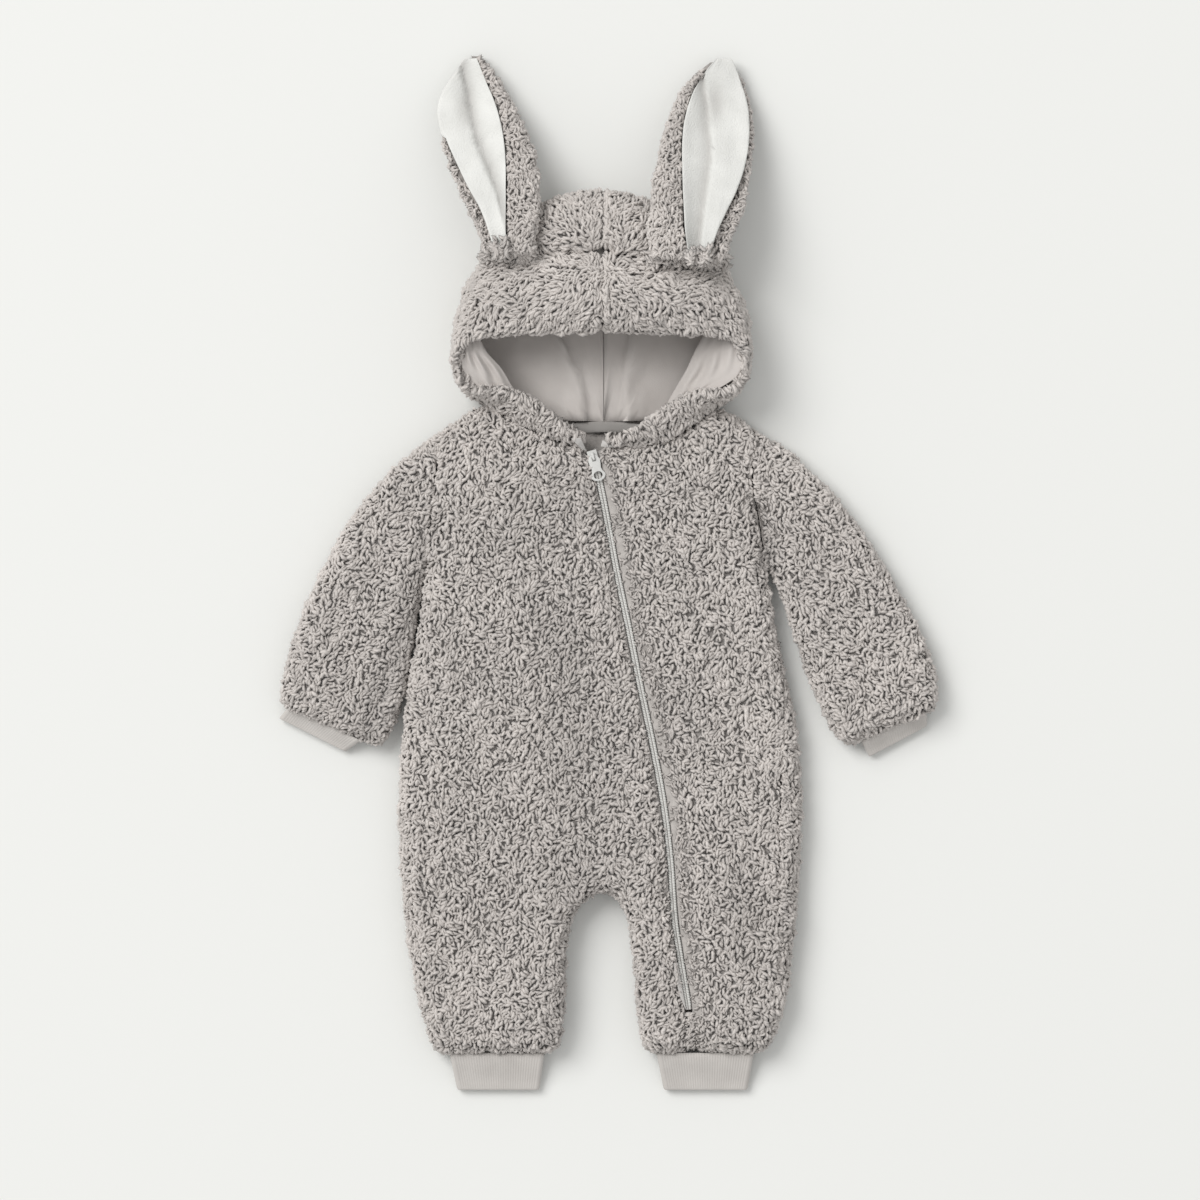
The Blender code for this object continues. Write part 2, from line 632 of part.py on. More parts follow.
def inner_points(border):
    """Corners inside a panel: rows parallel to its rounded edges, then an even field."""
    starts, ends = border, np.roll(border, -1, axis=0)
    near, out = edge_field(border)
    found = []
    for step in edge_steps()[1:]:
        outside = near < step - 0.8
        row = border[outside] - out[outside] * (step - near[outside])[:, None]
        clear = edge_field(row)[0] > step - 0.25
        found.append((row[clear], 0.9 if step < 3 else 2.6))
    by_zip = np.abs(border[:, 0] - zip_x(border[:, 1])) < 8
    by_zip &= (border[:, 1] < 100) & (border[:, 1] > HEM_Y + 5)
    side = np.sign(border[by_zip] - np.stack([zip_x(border[by_zip][:, 1])] * 2, -1))[:, :1]
    for step in (4.5, 9.0, ZIP_VALLEY):
        found.append((border[by_zip] + side * np.array([[step, 0]]), 3.5))
    low, high = border.min(0), border.max(0)
    rows = np.arange(low[1], high[1], FIELD_STEP * 0.87)
    field = np.array(
        [
            (x + (k % 2) * FIELD_STEP / 2, y)
            for k, y in enumerate(rows)
            for x in np.arange(low[0], high[0], FIELD_STEP)
        ]
    )
    deep = edge_field(field)[0] > EDGE_ROUND + FIELD_STEP * 0.35
    deep &= np.abs(field[:, 0] - zip_x(field[:, 1])) > ZIP_VALLEY + FIELD_STEP * 0.6
    found.append((field[deep], FIELD_STEP * 0.4))
    kept = []
    for points, margin in found:
        inside = in_polygon(points, border)
        clear = nearest(points, starts, ends)[0] > margin
        kept.append(points[inside & clear])
    return np.vstack(kept)


def triangulate(border, extra):
    """Plan points and triangles that fill a border through the extra points."""
    points = np.vstack([border, extra])
    found = delaunay_2d_cdt([Vector(p) for p in points], [], [list(range(len(border)))], 1, 1e-3)
    corners, _, triangles, origins = found[:4]
    plan = [points[o[0]] if o else tuple(c) for c, o in zip(corners, origins)]
    return np.array(plan), [list(face) for face in triangles]


def panel(border, top):
    """A flat-laid panel's wall from its plan border."""
    plan, faces = triangulate(border, inner_points(border))
    outer, inner = cloth(plan, top)
    return outer, inner, faces


def join(*paths):
    """One border from paths laid end to end, without repeated corners."""
    border = np.vstack(paths)
    keep = np.linalg.norm(border - np.roll(border, 1, axis=0), axis=1) > 0.05
    return border[keep]


def zip_side(offset):
    """A front's edge along the zip and its closed seam, from neck to hem."""
    y = np.array([row[0] for row in ZIP_LINE[1:]])
    y = np.sort(np.concatenate([y, (y[1:] + y[:-1]) / 2]))[::-1]
    open_share = step_up((y - ZIP_END_Y + 16) / 14)
    shift = SEAM_GAP / 2 + (zip_gap(y) - SEAM_GAP / 2) * open_share
    return np.stack([zip_x(y) + offset * shift, y], axis=-1)


def shoulder_seam(side):
    return sample(SHOULDERS[side])


def armhole_seam(side):
    """Corners of an armhole seam: the same shares as the sleeve's first ring."""
    return along(ARMHOLES[side], sleeve_shares(lengths(ARMHOLES[side])[-1]))


def neck_seam(side):
    """The front neck seam from the shoulder to the zip, clear of the hood's edge."""
    seat = hood_seat(side, NECK_STATIONS)[::-1]
    line = np.gradient(seat, axis=0)
    across = np.stack([-line[:, 1], line[:, 0]], axis=-1)
    across /= np.linalg.norm(across, axis=1)[:, None]
    across *= np.sign(-across[:, 1])[:, None]
    return seat + across * SEAM_GAP * (1 + 1.5 * np.exp(-np.arange(len(seat))))[:, None]


def back_neck_seam():
    """The back neck seam from the wearer's right shoulder to the left one."""
    right = hood_seat("right", BACK_STATIONS)
    left = hood_seat("left", BACK_STATIONS)[::-1]
    return join(right, left[1:]) - np.array([0, SEAM_GAP])


def leg_border(side, top):
    """Corners down a leg's outer side, along its hem, and up its inseam."""
    outer, hem, inner = LEGS[side]
    cuff = ANKLE_RIGHT if side == "right" else ANKLE_LEFT
    return sample(outer), inset_hem(sample(hem), cuff, top), sample(inner)[::-1]


def wrap_inset(y, gap=0.0):
    """How far in from the outline the wearer's left side seam lies on the front."""
    degrees = smooth(column(WRAP, "y"), column(WRAP, "degrees"), y)
    degrees = np.maximum(degrees, 0)
    degrees = degrees + gap * np.clip(degrees / 6, 0, 1)
    return EDGE_ROUND * (1 - np.cos(np.radians(degrees)))


def make_front_right(material):
    """Wearer's right front: the right leg, the crotch, and the left leg to the zip."""
    side, hem, inseam = leg_border("right", True)
    _, left_hem, left_inseam = leg_border("left", True)
    zip_edge = zip_side(-1)
    left_hem = left_hem[::-1]
    left_hem = left_hem[left_hem[:, 0] < zip_edge[-1, 0] - 2]
    neck = neck_seam("right")
    border = join(
        shoulder_seam("right")[::-1][:-1],
        armhole_seam("right")[:-1],
        side[:-1],
        hem[:-1],
        inseam[:-1],
        left_inseam[::-1][:-1],
        left_hem,
        zip_edge[::-1],
        neck[::-1][:-1],
    )
    return wall("front_right", [panel(border, True)], material)


def make_front_left(material):
    """Wearer's left front, outside the zip."""
    side, hem, _ = leg_border("left", True)
    out = edge_field(side)[1]
    side = side - out * wrap_inset(side[:, 1], SEAM_TURN)[:, None]
    zip_edge = zip_side(1)
    hem = hem[hem[:, 0] > zip_edge[-1, 0] + 2]
    neck = neck_seam("left")
    border = join(
        shoulder_seam("left")[::-1][:-1],
        armhole_seam("left")[:-1],
        side[:-1],
        hem,
        zip_edge[::-1],
        neck[::-1][:-1],
    )
    return wall("front_left", [panel(border[::-1], True)], material)


def make_back(material):
    """The whole back, and its strip that turns up on to the wearer's left front."""
    right_side, right_hem, right_inseam = leg_border("right", False)
    left_side, left_hem, left_inseam = leg_border("left", False)
    border = join(
        shoulder_seam("right")[::-1][:-1],
        armhole_seam("right")[:-1],
        right_side[:-1],
        right_hem[:-1],
        right_inseam[:-1],
        left_inseam[::-1][:-1],
        left_hem[::-1][:-1],
        left_side[::-1][:-1],
        armhole_seam("left")[::-1][:-1],
        shoulder_seam("left")[:-1],
        back_neck_seam()[::-1][:-1],
    )
    under = panel(border, False)
    inset = wrap_inset(left_side[:, 1])
    out = edge_field(left_side)[1]
    turned = 1 - inset / EDGE_ROUND
    shares = np.linspace(0, 1, 5)[1:]
    degrees = np.degrees(np.arccos(turned))[:, None] * shares
    steps = EDGE_ROUND * (1 - np.cos(np.radians(degrees)))
    plan = left_side[:, None] - out[:, None] * steps[..., None]
    outer, inner = cloth(plan, True)
    first = cloth(left_side, False)
    outer = np.concatenate([first[0][:, None], outer], axis=1)
    inner = np.concatenate([first[1][:, None], inner], axis=1)
    flat = inset < 0.01
    outer[flat], inner[flat] = outer[flat][:, :1], inner[flat][:, :1]
    return wall("back", [under, sheet(outer, inner)], material)


# ---- sleeves ------------------------------------------------------------------------
def sleeve_shares(width):
    """Shares across a sleeve, close together round both edges."""
    width = np.asarray(width, float)[..., None]
    lead = edge_steps() / width
    middle = lead[..., -1:] + (1 - 2 * lead[..., -1:]) * np.arange(1, SLEEVE_CELLS) / SLEEVE_CELLS
    return np.concatenate([lead, middle, 1 - lead[..., ::-1]], axis=-1)


def patch(top, bottom, left, right, u, v):
    """Plan points of a four-sided patch (Coons) between paths that share corners."""
    v = v[:, None]
    ends = along(left, v[:, 0])[:, None], along(right, v[:, 0])[:, None]
    p, q = u[..., None], v[..., None]
    across = (1 - q) * along(top, u) + q * along(bottom, u)
    down = (1 - p) * ends[0] + p * ends[1]
    corners = (1 - q) * ((1 - p) * top[0] + p * top[-1]) + q * ((1 - p) * bottom[0] + p * bottom[-1])
    return across + down - corners


def make_sleeve(side, material):
    """A sleeve as one tube of rings from the armhole seam to the cuff."""
    outer_edge, hem, inner_edge = SLEEVES[side]
    cuff = WRIST_RIGHT if side == "right" else WRIST_LEFT
    away = np.array([-SEAM_GAP if side == "right" else SEAM_GAP, 0])
    armhole = ARMHOLES[side] + away
    length = min(lengths(outer_edge)[-1], lengths(inner_edge)[-1])
    v = np.concatenate([np.linspace(0, 1 - 26 / length, SLEEVE_RINGS), 1 - edge_steps()[::-1] / length])
    starts, ends = along(outer_edge, v), along(inner_edge, v)
    width = np.linalg.norm(starts - ends, axis=1)
    grid = patch(armhole, hem, outer_edge, inner_edge, sleeve_shares(width), v)
    grid[0] = armhole_seam(side) + away
    surfaces = []
    for top in (True, False):
        plan = grid.copy()
        plan[-1] = inset_hem(grid[-1], cuff, top)
        outer, inner = cloth(plan, top)
        for ring, body_ring in zip((outer[0], inner[0]), cloth(armhole_seam(side), top)):
            ring[:-1] = body_ring[:-1] + np.array([*away, 0])
        for border in (0, -1):
            outer[:, border, 2] = SEAM_HEIGHT
            inner[:, border, 2] = SEAM_HEIGHT
        surfaces.append(sheet(outer, inner))
    return wall(f"sleeve_{side}", surfaces, material)


# ---- cuffs --------------------------------------------------------------------------
def make_cuff(name, corners, droop, material):
    """A rib cuff pressed flat: a tube of two layers that sinks to the surface."""
    first, last, first_end, last_end = (np.array(c, float) for c in corners)
    hems = np.vstack([path[:-1] for path in HEM_PATHS]), np.vstack([path[1:] for path in HEM_PATHS])
    first, last = np.stack([first, last]) + nearest(np.stack([first, last]), *hems)[1]
    down = (first_end + last_end - first - last) / 2
    down /= np.linalg.norm(down)
    rings = []
    for share in (0.0, 0.34, 0.67, 1.0):
        start = first + (first_end - first) * share + down * SEAM_GAP * 1.5 * (1 - share)
        end = last + (last_end - last) * share + down * SEAM_GAP * 1.5 * (1 - share)
        height = SEAM_HEIGHT + (droop - SEAM_HEIGHT) * share
        rings.append(flat_ring(start, end, height))
    outer = np.stack([ring[0] for ring in rings])
    inner = np.stack([ring[1] for ring in rings])
    return wall(name, [sheet(outer, inner)], material)


def flat_ring(start, end, height):
    """Outer and inner points of one flattened ring between two plan points."""
    width = np.linalg.norm(end - start)
    across = (end - start) / width
    ends = np.radians(np.linspace(-90, 90, 5))
    cells = np.arange(1, 4) / 4
    rings = []
    for half in (CUFF_HALF, CUFF_HALF - RIB):
        reach = width / 2 - CUFF_HALF
        tip = np.stack([reach + half * np.cos(ends), half * np.sin(ends)], axis=-1)
        flat = np.stack([reach - 2 * reach * cells, np.full(3, half)], axis=-1)
        loop = np.vstack([tip, flat, -tip, -flat])
        loop = np.vstack([loop, loop[:1]])
        middle = (start + end) / 2
        rings.append(
            np.column_stack([middle + across * loop[:, :1], height + loop[:, 1]])
        )
    return rings


# ---- hood ---------------------------------------------------------------------------
def hood_table(side):
    return HOOD_RIGHT if side == "right" else HOOD_LEFT


def hood_value(side, name, station):
    table = hood_table(side)
    return smooth(np.arange(len(table) - 1), column(table, name), station)


def hood_seat(side, station):
    """Plan points of the neck seam: the front's, then from the shoulder the back's."""
    station = np.asarray(station, float)
    front = np.stack([hood_value(side, "seat_x", station), hood_value(side, "seat_y", station)], -1)
    shoulder = np.array(hood_table(side)[SHOULDER_STATION + 1][3:])
    centre = np.array([HOOD_CENTRE, BACK_NECK_Y])
    turn = centre + (shoulder - centre) * (0.4, 0.12)
    path = curve([shoulder, turn, centre])
    last = len(hood_table(side)) - 2
    back = along(path, np.clip((station - SHOULDER_STATION) / (last - SHOULDER_STATION), 0, 1))
    return np.where((station > SHOULDER_STATION)[..., None], back, front)


def superellipse(count, power):
    """A rounded corner from (0, 1) to (1, 0), upright where it ends."""
    reach = np.sin(np.linspace(0, math.pi / 2, count))
    return reach, np.sqrt(np.maximum(1 - reach**power, 0))


def hood_section(side, station):
    """One section of the hood, from the rim outwards and under to the neck seam.

    Returns its points and the running length at the seam between band and crown.
    """
    rim = np.array([hood_value(side, name, station) for name in ("rim_x", "rim_y", "rim_z")])
    seat = hood_seat(side, station)
    on_back = station > SHOULDER_STATION
    seat_point = cloth(seat[None], not on_back)[0][0]
    if not on_back:
        share = np.linspace(0, 1, SECTION_POINTS)[:, None]
        swell = np.array([0, 0, 3.0]) * np.sin(math.pi * share)
        return rim + (seat_point - rim) * share + swell, None
    edge = np.array([hood_value(side, name, station) for name in ("seat_x", "seat_y")])
    past = station - SHOULDER_STATION
    edge_z = SEAM_HEIGHT + (HOOD_MID - SEAM_HEIGHT) * float(step_up(past / 2))
    reach, rise = superellipse(SECTION_POINTS // 2, 3.4)
    plan = rim[:2] + (edge - rim[:2]) * reach[:, None]
    ridge_y = smooth(column(RIDGE_SEAM, "x"), column(RIDGE_SEAM, "y"), plan[:, 0])
    centred = float(step_up((station - 9) / 3.5))
    before = np.clip((plan[:, 1] - rim[1]) / (ridge_y - rim[1]), 0, 1)
    beyond = np.clip((plan[:, 1] - ridge_y) / (edge[1] + 1 - ridge_y), 0, 1) if edge[1] > 230 else 0 * before
    swell = BAND_RISE * np.sin(math.pi * before) ** 0.8 + CROWN_RISE * np.sin(math.pi * beyond)
    dip = RIDGE_DIP * np.exp(-(((plan[:, 1] - ridge_y) / RIDGE_WIDTH) ** 2))
    height = edge_z + (rim[2] - edge_z + centred * (swell - dip)) * rise
    over = np.column_stack([plan, height])
    crossing = np.argmax(plan[:, 1] > ridge_y) if (plan[:, 1] > ridge_y).any() else None
    # Under the hood, back to the neck seam.
    span = np.linalg.norm(seat - edge)
    radius = min(HOOD_UNDER, 0.5 * span) + 1e-6
    turn = np.radians(np.linspace(0, 90, SECTION_POINTS // 2))
    q = np.concatenate([radius * (1 - np.cos(turn)), np.linspace(radius, span, SECTION_POINTS // 2)[1:]])
    q = np.minimum(q, span)
    slack = 1 - np.minimum(q / radius, 1)
    drop = seat_point[2] + (edge_z - seat_point[2]) * (1 - np.sqrt(1 - slack**2))
    below = np.column_stack([edge + (seat - edge) * (q / max(span, 1e-6))[:, None], drop])
    points = np.vstack([over, below[1:]])
    run = lengths(points)
    if crossing is not None:
        seam = run[crossing]
    else:
        seam = lengths(over)[-1] + RIDGE_UNDER * float(step_up((11 - station) / 2))
    room = 34.0 * (past - BACK_START)
    return points, min(seam, run[-1] - max(room, 0) * 0.6) if past > BACK_START else run[-1]


def resample(points, start, end, count):
    """Points between two running lengths, closer together where the path bends."""
    run = lengths(points)
    line = np.diff(points, axis=0)
    size = np.maximum(np.linalg.norm(line, axis=1), 1e-9)
    unit = line / size[:, None]
    turn = np.degrees(np.arccos(np.clip((unit[1:] * unit[:-1]).sum(1), -1, 1)))
    weight = size + np.concatenate([[0], turn]) * HOOD_BEND
    cells = np.concatenate([[0], np.cumsum(weight)])
    ends = np.interp([start, end], run, cells)
    at = np.interp(np.linspace(*ends, count), cells, run)
    return at


def hood_surface(side):
    """Sections of one half of the hood with their way out, and where each is sewn."""
    stations = HOOD_STATIONS
    sections = [hood_section(side, s) for s in stations]
    shares = np.linspace(0, 1, SECTION_POINTS * 2)
    grid = np.stack([along(points, shares) for points, _ in sections])
    seams = np.array([lengths(p)[-1] if seam is None else seam for p, seam in sections])
    totals = np.array([lengths(p)[-1] for p, _ in sections])
    across = np.gradient(grid, axis=0)
    down = np.gradient(grid, axis=1)
    normal = np.cross(across, down)
    size = np.linalg.norm(normal, axis=2)[..., None]
    normal /= np.maximum(size, 1e-9)
    if side == "left":
        normal = -normal
    if normal[-1, 2, 2] < 0:
        normal = -normal
    # At the neck seam the wall stands as the body's does.
    seat = hood_seat(side, stations)
    for k, station in enumerate(stations):
        outer, inner = cloth(seat[k][None], station <= SHOULDER_STATION)
        way = (outer - inner)[0]
        way /= np.linalg.norm(way)
        blend = step_up((np.linspace(0, 1, len(shares)) - 0.8) / 0.2)[:, None]
        normal[k] = normal[k] * (1 - blend) + way * blend
    normal[-1, :, 0] = 0
    # Evened out along the rim, so that the thick wall doesn't cross itself.
    for _ in range(2):
        middle = (normal[:-2] + 2 * normal[1:-1] + normal[2:]) / 4
        normal[1:-1, :-8] = middle[:, :-8]
    normal /= np.linalg.norm(normal, axis=2)[..., None]
    return grid, normal, seams, totals


def hood_strip(surface, start, end, count):
    """Points and ways out for a stretch of each section."""
    grid, normal = surface[:2]
    points, ways = [], []
    for k in range(len(grid)):
        at = resample(grid[k], start[k], end[k], count)
        run = lengths(grid[k])
        points.append(np.stack([np.interp(at, run, grid[k][:, c]) for c in range(3)], -1))
        ways.append(np.stack([np.interp(at, run, normal[k][:, c]) for c in range(3)], -1))
    ways = np.array(ways)
    return np.array(points), ways / np.linalg.norm(ways, axis=2)[..., None]


def hood_wall(name, strip, side, outside, size, material):
    """One piece of the hood, offset into the cloth, its centre seam half a gap away."""
    points, ways = strip
    squeeze = HOOD_SQUEEZE * np.exp(-((HOOD_STATIONS - SHOULDER_STATION - 1) ** 2))
    squeeze += HOOD_SQUEEZE / 2 * np.exp(-((HOOD_STATIONS - 9.5) ** 2))
    squeeze = squeeze[-len(points) :, None, None]
    layers = [points - ways * (outside - squeeze * (outside > 0)), points - ways * (outside + size - squeeze)]
    sign = -1 if side == "right" else 1
    for layer in layers:
        layer[-1, :, 0] = HOOD_CENTRE + sign * SEAM_GAP / 2
    wall(name, [sheet(*layers)], material)


def pull_in(points):
    """Moves both edges of a strip in, so that the lining ends short of the fleece."""
    for edge, inner, short in ((0, 1, LINING_SHORT), (-1, -2, 3 * LINING_SHORT)):
        way = points[:, inner] - points[:, edge]
        size = np.maximum(np.linalg.norm(way, axis=1), 1e-6)[:, None]
        points[:, edge] += way * np.minimum(short / size, 0.6)
    return points


def make_hood(side, fleece, lining):
    """Brim band, crown and back, and lining of one half of the hood."""
    surface = hood_surface(side)
    seams, totals = surface[2:]
    half = SEAM_GAP / 2 * (1 + 1.5 * np.exp(-(((HOOD_STATIONS - 8) / 3) ** 2)))
    ends = np.where(seams < totals, seams - half, totals)
    band = hood_strip(surface, np.zeros(len(totals)), ends, BAND_CELLS)
    hood_wall(f"hood_band_{side}", band, side, 0.0, HOOD_WALL, fleece)
    back = hood_strip(surface, np.minimum(seams + half, totals), totals, BACK_CELLS)
    part = [values[HOOD_BACK_FROM:] for values in back]
    hood_wall(f"hood_back_{side}", part, side, 0.0, HOOD_WALL, fleece)
    both = [np.concatenate([a, b[:, 1:]], axis=1) for a, b in zip(band, back)]
    both[0] = pull_in(both[0])
    hood_wall(f"hood_lining_{side}", both, side, HOOD_WALL + LINING_GAP, LINING, lining)


# ---- ears ---------------------------------------------------------------------------
def ear_section(outer, white_outer, white_inner, inner):
    """Fleece and plush of one section across an ear, as (across, height) pairs."""
    way = 1 if inner > outer else -1
    strip = abs(inner - white_inner)
    roll = min(EAR_ROLL, EAR_WALL + PLUSH + 2.5 + 0.55 * strip)
    side = min(EAR_WALL, 0.42 * strip)
    bend = min(11.0, 0.45 * strip)
    o, i = outer * way, inner * way
    wi = white_inner * way
    outside = [
        (o + 0.8, 6.4), (o, 3.4), (o + 1.9, 0.7), (o + 6, 0), ((o + wi) / 2, 0), (wi, 0),
        (i - bend, 0), (i - 0.3 * bend, 0.14 * roll), (i, 0.5 * roll),
        (i - 0.3 * bend, 0.87 * roll), (i - bend, roll), (wi + 0.4, roll - 2.5),
    ]
    inside = [
        (o + 3.6, 6.7), (o + 4.4, 6.1), (o + 6, 5.7), (o + 9, EAR_WALL), ((o + wi) / 2, EAR_WALL),
        (wi, EAR_WALL), (i - bend - 0.2 * side, EAR_WALL), (i - 0.3 * bend - 0.7 * side, 0.14 * roll + 0.75 * side),
        (i - side, 0.5 * roll), (i - 0.3 * bend - 0.7 * side, 0.87 * roll - 0.75 * side),
        (i - bend - 0.1, roll - side), (wi + 0.4, roll - 2.5 - side),
    ]
    return way, np.array(outside), np.array(inside), roll


def plush_section(white_outer, white_inner, way, roll):
    """Underside and top of the pale lining of an ear, with the valley along it."""
    a, b = white_outer * way, white_inner * way
    width = b - a
    low = EAR_WALL + 0.7
    under = np.array(
        [
            (a, low + 1.2),
            (a + min(4, 0.2 * width), low + 0.85),
            (a + 0.35 * width, low + 0.2),
            (a + 0.6 * width, low),
            (a + 0.8 * width, low + 1.2),
            (b - 0.06 * width, roll - 2.5 - PLUSH - 1.2),
            (b, roll - 2.5 - PLUSH),
        ]
    )
    under[:, 1] = np.maximum(under[:, 1], low)
    return under + (0, PLUSH), under


def make_ear(side, fleece, plush):
    """An ear laid flat: a fleece leaf that rolls over along its inner edge, and plush."""
    table = EAR_RIGHT if side == "right" else EAR_LEFT
    ticks = np.arange(len(table) - 1)
    leaf, lining = [], []
    stations = np.linspace(0, ticks[-1], EAR_RINGS)
    for store, last in ((leaf, None), (lining, -1)):
        for station in stations[:last]:
            row = [float(smooth(ticks, column(table, name), station)) for name in table[0]]
            way, outside, inside, roll = ear_section(*row[1:5])
            pair = outside, inside
            if store is lining:
                pair = plush_section(*row[2:4], way, roll)
            store.append([[(a * way, row[0], row[5] + b) for a, b in part] for part in pair])
    leaf, lining = np.array(leaf), np.array(lining)
    wall(f"ear_{side}", [sheet(leaf[:, 0], leaf[:, 1])], fleece)
    wall(f"ear_plush_{side}", [sheet(lining[:, 0], lining[:, 1])], plush)


# ---- neck tape and zip --------------------------------------------------------------
def bar(name, rings, material):
    """A closed solid through rings of corners, with flat ends."""
    count, size = rings.shape[:2]
    faces = []
    for i in range(count - 1):
        for j in range(size):
            k = (j + 1) % size
            faces.append((i * size + j, i * size + k, (i + 1) * size + k, (i + 1) * size + j))
    faces.append(tuple(range(size))[::-1])
    faces.append(tuple(range((count - 1) * size, count * size)))
    part = make_object(name, rings.reshape(-1, 3), faces, material)
    turn_outward(part)
    return part


def turn_outward(part):
    work = bmesh.new()
    work.from_mesh(part.data)
    bmesh.ops.recalc_face_normals(work, faces=work.faces)
    work.to_mesh(part.data)
    work.free()


def make_neck_tape(material):
    """The tape over the back neck seam, inside the hood."""
    x = np.linspace(HOOD_CENTRE - 42, HOOD_CENTRE + 42, 13)
    y = BACK_NECK_Y - 2.5 + 4.5 * (1 - ((x - HOOD_CENTRE) / 42) ** 2)
    section = ((-4.2, 0), (4.2, 0), (4.2, 0.8), (2.0, 1.7), (-2.0, 1.7), (-4.2, 0.8))
    rings = [[(a, b + across, TAPE_Z + up) for across, up in section] for a, b in zip(x, y)]
    bar("neck_tape", np.array(rings), material)


def zip_frame(y):
    """Centre, downward direction and sideways direction of the zip in plan."""
    step = 0.5
    down = np.array([zip_x(y - step) - zip_x(y + step), -2 * step])
    down /= np.linalg.norm(down)
    return np.array([float(zip_x(y)), y]), down, np.array([-down[1], down[0]])


def zip_height(y):
    """Height of the front beside the zip, before it dips."""
    centre, _, aside = zip_frame(y)
    points = centre + aside * np.array([[-TAPE_REACH], [0], [TAPE_REACH]])
    return float(plain_height(points, edge_field(points)[0]).min())


def make_zip_tape(side, material):
    """Half of the zip: its woven tape with the coil along the edge."""
    sign = -1 if side == "right" else 1
    half = SEAM_GAP / 2
    section = (
        (half, -TAPE_BELOW),
        (TAPE_REACH, -TAPE_BELOW),
        (TAPE_REACH, TAPE - TAPE_BELOW),
        (COIL_HALF, TAPE - TAPE_BELOW),
        (COIL_HALF, -COIL_TOP_BELOW - 0.9),
        (COIL_HALF - 0.7, -COIL_TOP_BELOW),
        (half, -COIL_TOP_BELOW),
    )
    rings = []
    for y in np.linspace(SLIDER_Y + COIL_STOP, ZIP_END_Y, 24):
        centre, _, aside = zip_frame(y)
        height = zip_height(y)
        rings.append([(*(centre + aside * sign * a), height + z) for a, z in section])
    bar(f"zip_tape_{side}", np.array(rings), material)


def extrude(name, outline, low, high, material, axis_order=(0, 1, 2)):
    """A flat outline made a plate between two levels, its corners in a chosen order."""
    count = len(outline)
    points = [(*p, level) for level in (low, high) for p in outline]
    points = np.array(points)[:, list(axis_order)]
    faces = [tuple(range(count)), tuple(range(count, 2 * count))[::-1]]
    faces += [(k, (k + 1) % count, count + (k + 1) % count, count + k) for k in range(count)]
    part = make_object(name, points, faces, material)
    turn_outward(part)
    return part


def combine(part, other, operation):
    """Adds or cuts another solid, kept as a hidden guide, with a live Boolean."""
    other.hide_render = True
    other.display_type = "WIRE"
    other.parent = part
    modifier = part.modifiers.new(other.name, "BOOLEAN")
    modifier.operation = operation
    modifier.object = other
    modifier.solver = "EXACT"


def slider_frame():
    """Place and turn of the slider: local x runs across it, y down the zip."""
    centre, down, aside = zip_frame(SLIDER_Y)
    lean = math.atan2(aside[1], aside[0])
    height = zip_height(SLIDER_Y)
    return Vector((*centre, height)) * MM, lean


def make_slider(material):
    """Slider: a top and a bottom plate joined at the neck end, and the pull's bridge."""
    top = -COIL_TOP_BELOW + 0.35
    bottom = -TAPE_BELOW - 0.7
    end, neck = SLIDER_LENGTH / 2, -SLIDER_LENGTH / 2
    profile = [
        (neck, bottom - 1.1),
        (end - 0.6, bottom - 1.1),
        (end - 0.6, bottom),
        (neck + 1.3, bottom),
        (neck + 1.3, top),
        (end, top),
        (end, top + PLATE - 0.4),
        (end - 0.5, top + PLATE),
        (neck + 0.5, top + PLATE),
        (neck, top + PLATE - 0.4),
    ]
    profile = [(-e, z) for e, z in profile]
    half = SLIDER_WIDTH / 2
    body = extrude("zip_slider", profile, -half, half, material, (2, 0, 1))
    base = top + PLATE
    bridge = [
        (-3.2, base - 0.5),
        (-3.2, base + 2.5),
        (-2.2, base + 3.5),
        (2.2, base + 3.5),
        (3.2, base + 2.5),
        (3.2, base - 0.5),
        (1.9, base - 0.5),
        (1.9, base + 1.9),
        (1.5, base + 2.3),
        (-1.5, base + 2.3),
        (-1.9, base + 1.9),
        (-1.9, base - 0.5),
    ]
    bridge = [(-e, z) for e, z in bridge]
    arch = extrude("bridge_guide", bridge, -BRIDGE_HALF, BRIDGE_HALF, material, (2, 0, 1))
    place, lean = slider_frame()
    body.location = place
    body.rotation_euler = (0, 0, lean)
    combine(body, arch, "UNION")
    return base


def make_pull_tab(base, material):
    """Pull tab: a plate with an eye round the bridge and a ring at its end."""
    widths = (
        (-0.6, 2.2), (0.2, 3.2), (2.5, 4.5), (4.2, 4.7), (10.0, 3.7), (12.5, 4.3), (14.2, 5.5),
        (15.7, TAB_WIDTH / 2), (17.2, 5.3), (18.6, 3.9), (TAB_LENGTH, 1.8),
    )
    outline = [(w, -e) for e, w in widths] + [(-w, -e) for e, w in widths[::-1]]
    half = TAB / 2
    tab = extrude("zip_pull_tab", outline, -half, half, material)
    eye = [(-1.35, -0.6), (1.35, -0.6), (1.35, -4.1), (-1.35, -4.1)]
    turn = np.radians(np.arange(0, 360, 22.5))
    ring = [(3.5 * math.cos(t), -15.2 + 3.1 * math.sin(t)) for t in turn]
    for name, hole in (("eye_guide", eye), ("ring_guide", ring)):
        combine(tab, extrude(name, hole, -2, 2, material), "DIFFERENCE")
    place, lean = slider_frame()
    tab.location = place + Vector((0, 0, base + PIVOT_ABOVE)) * MM
    tab.rotation_euler = (math.radians(TAB_TILT), 0, lean)


# ---- assembly -----------------------------------------------------------------------
def clear_scene():
    for thing in list(bpy.data.objects):
        bpy.data.objects.remove(thing, do_unlink=True)


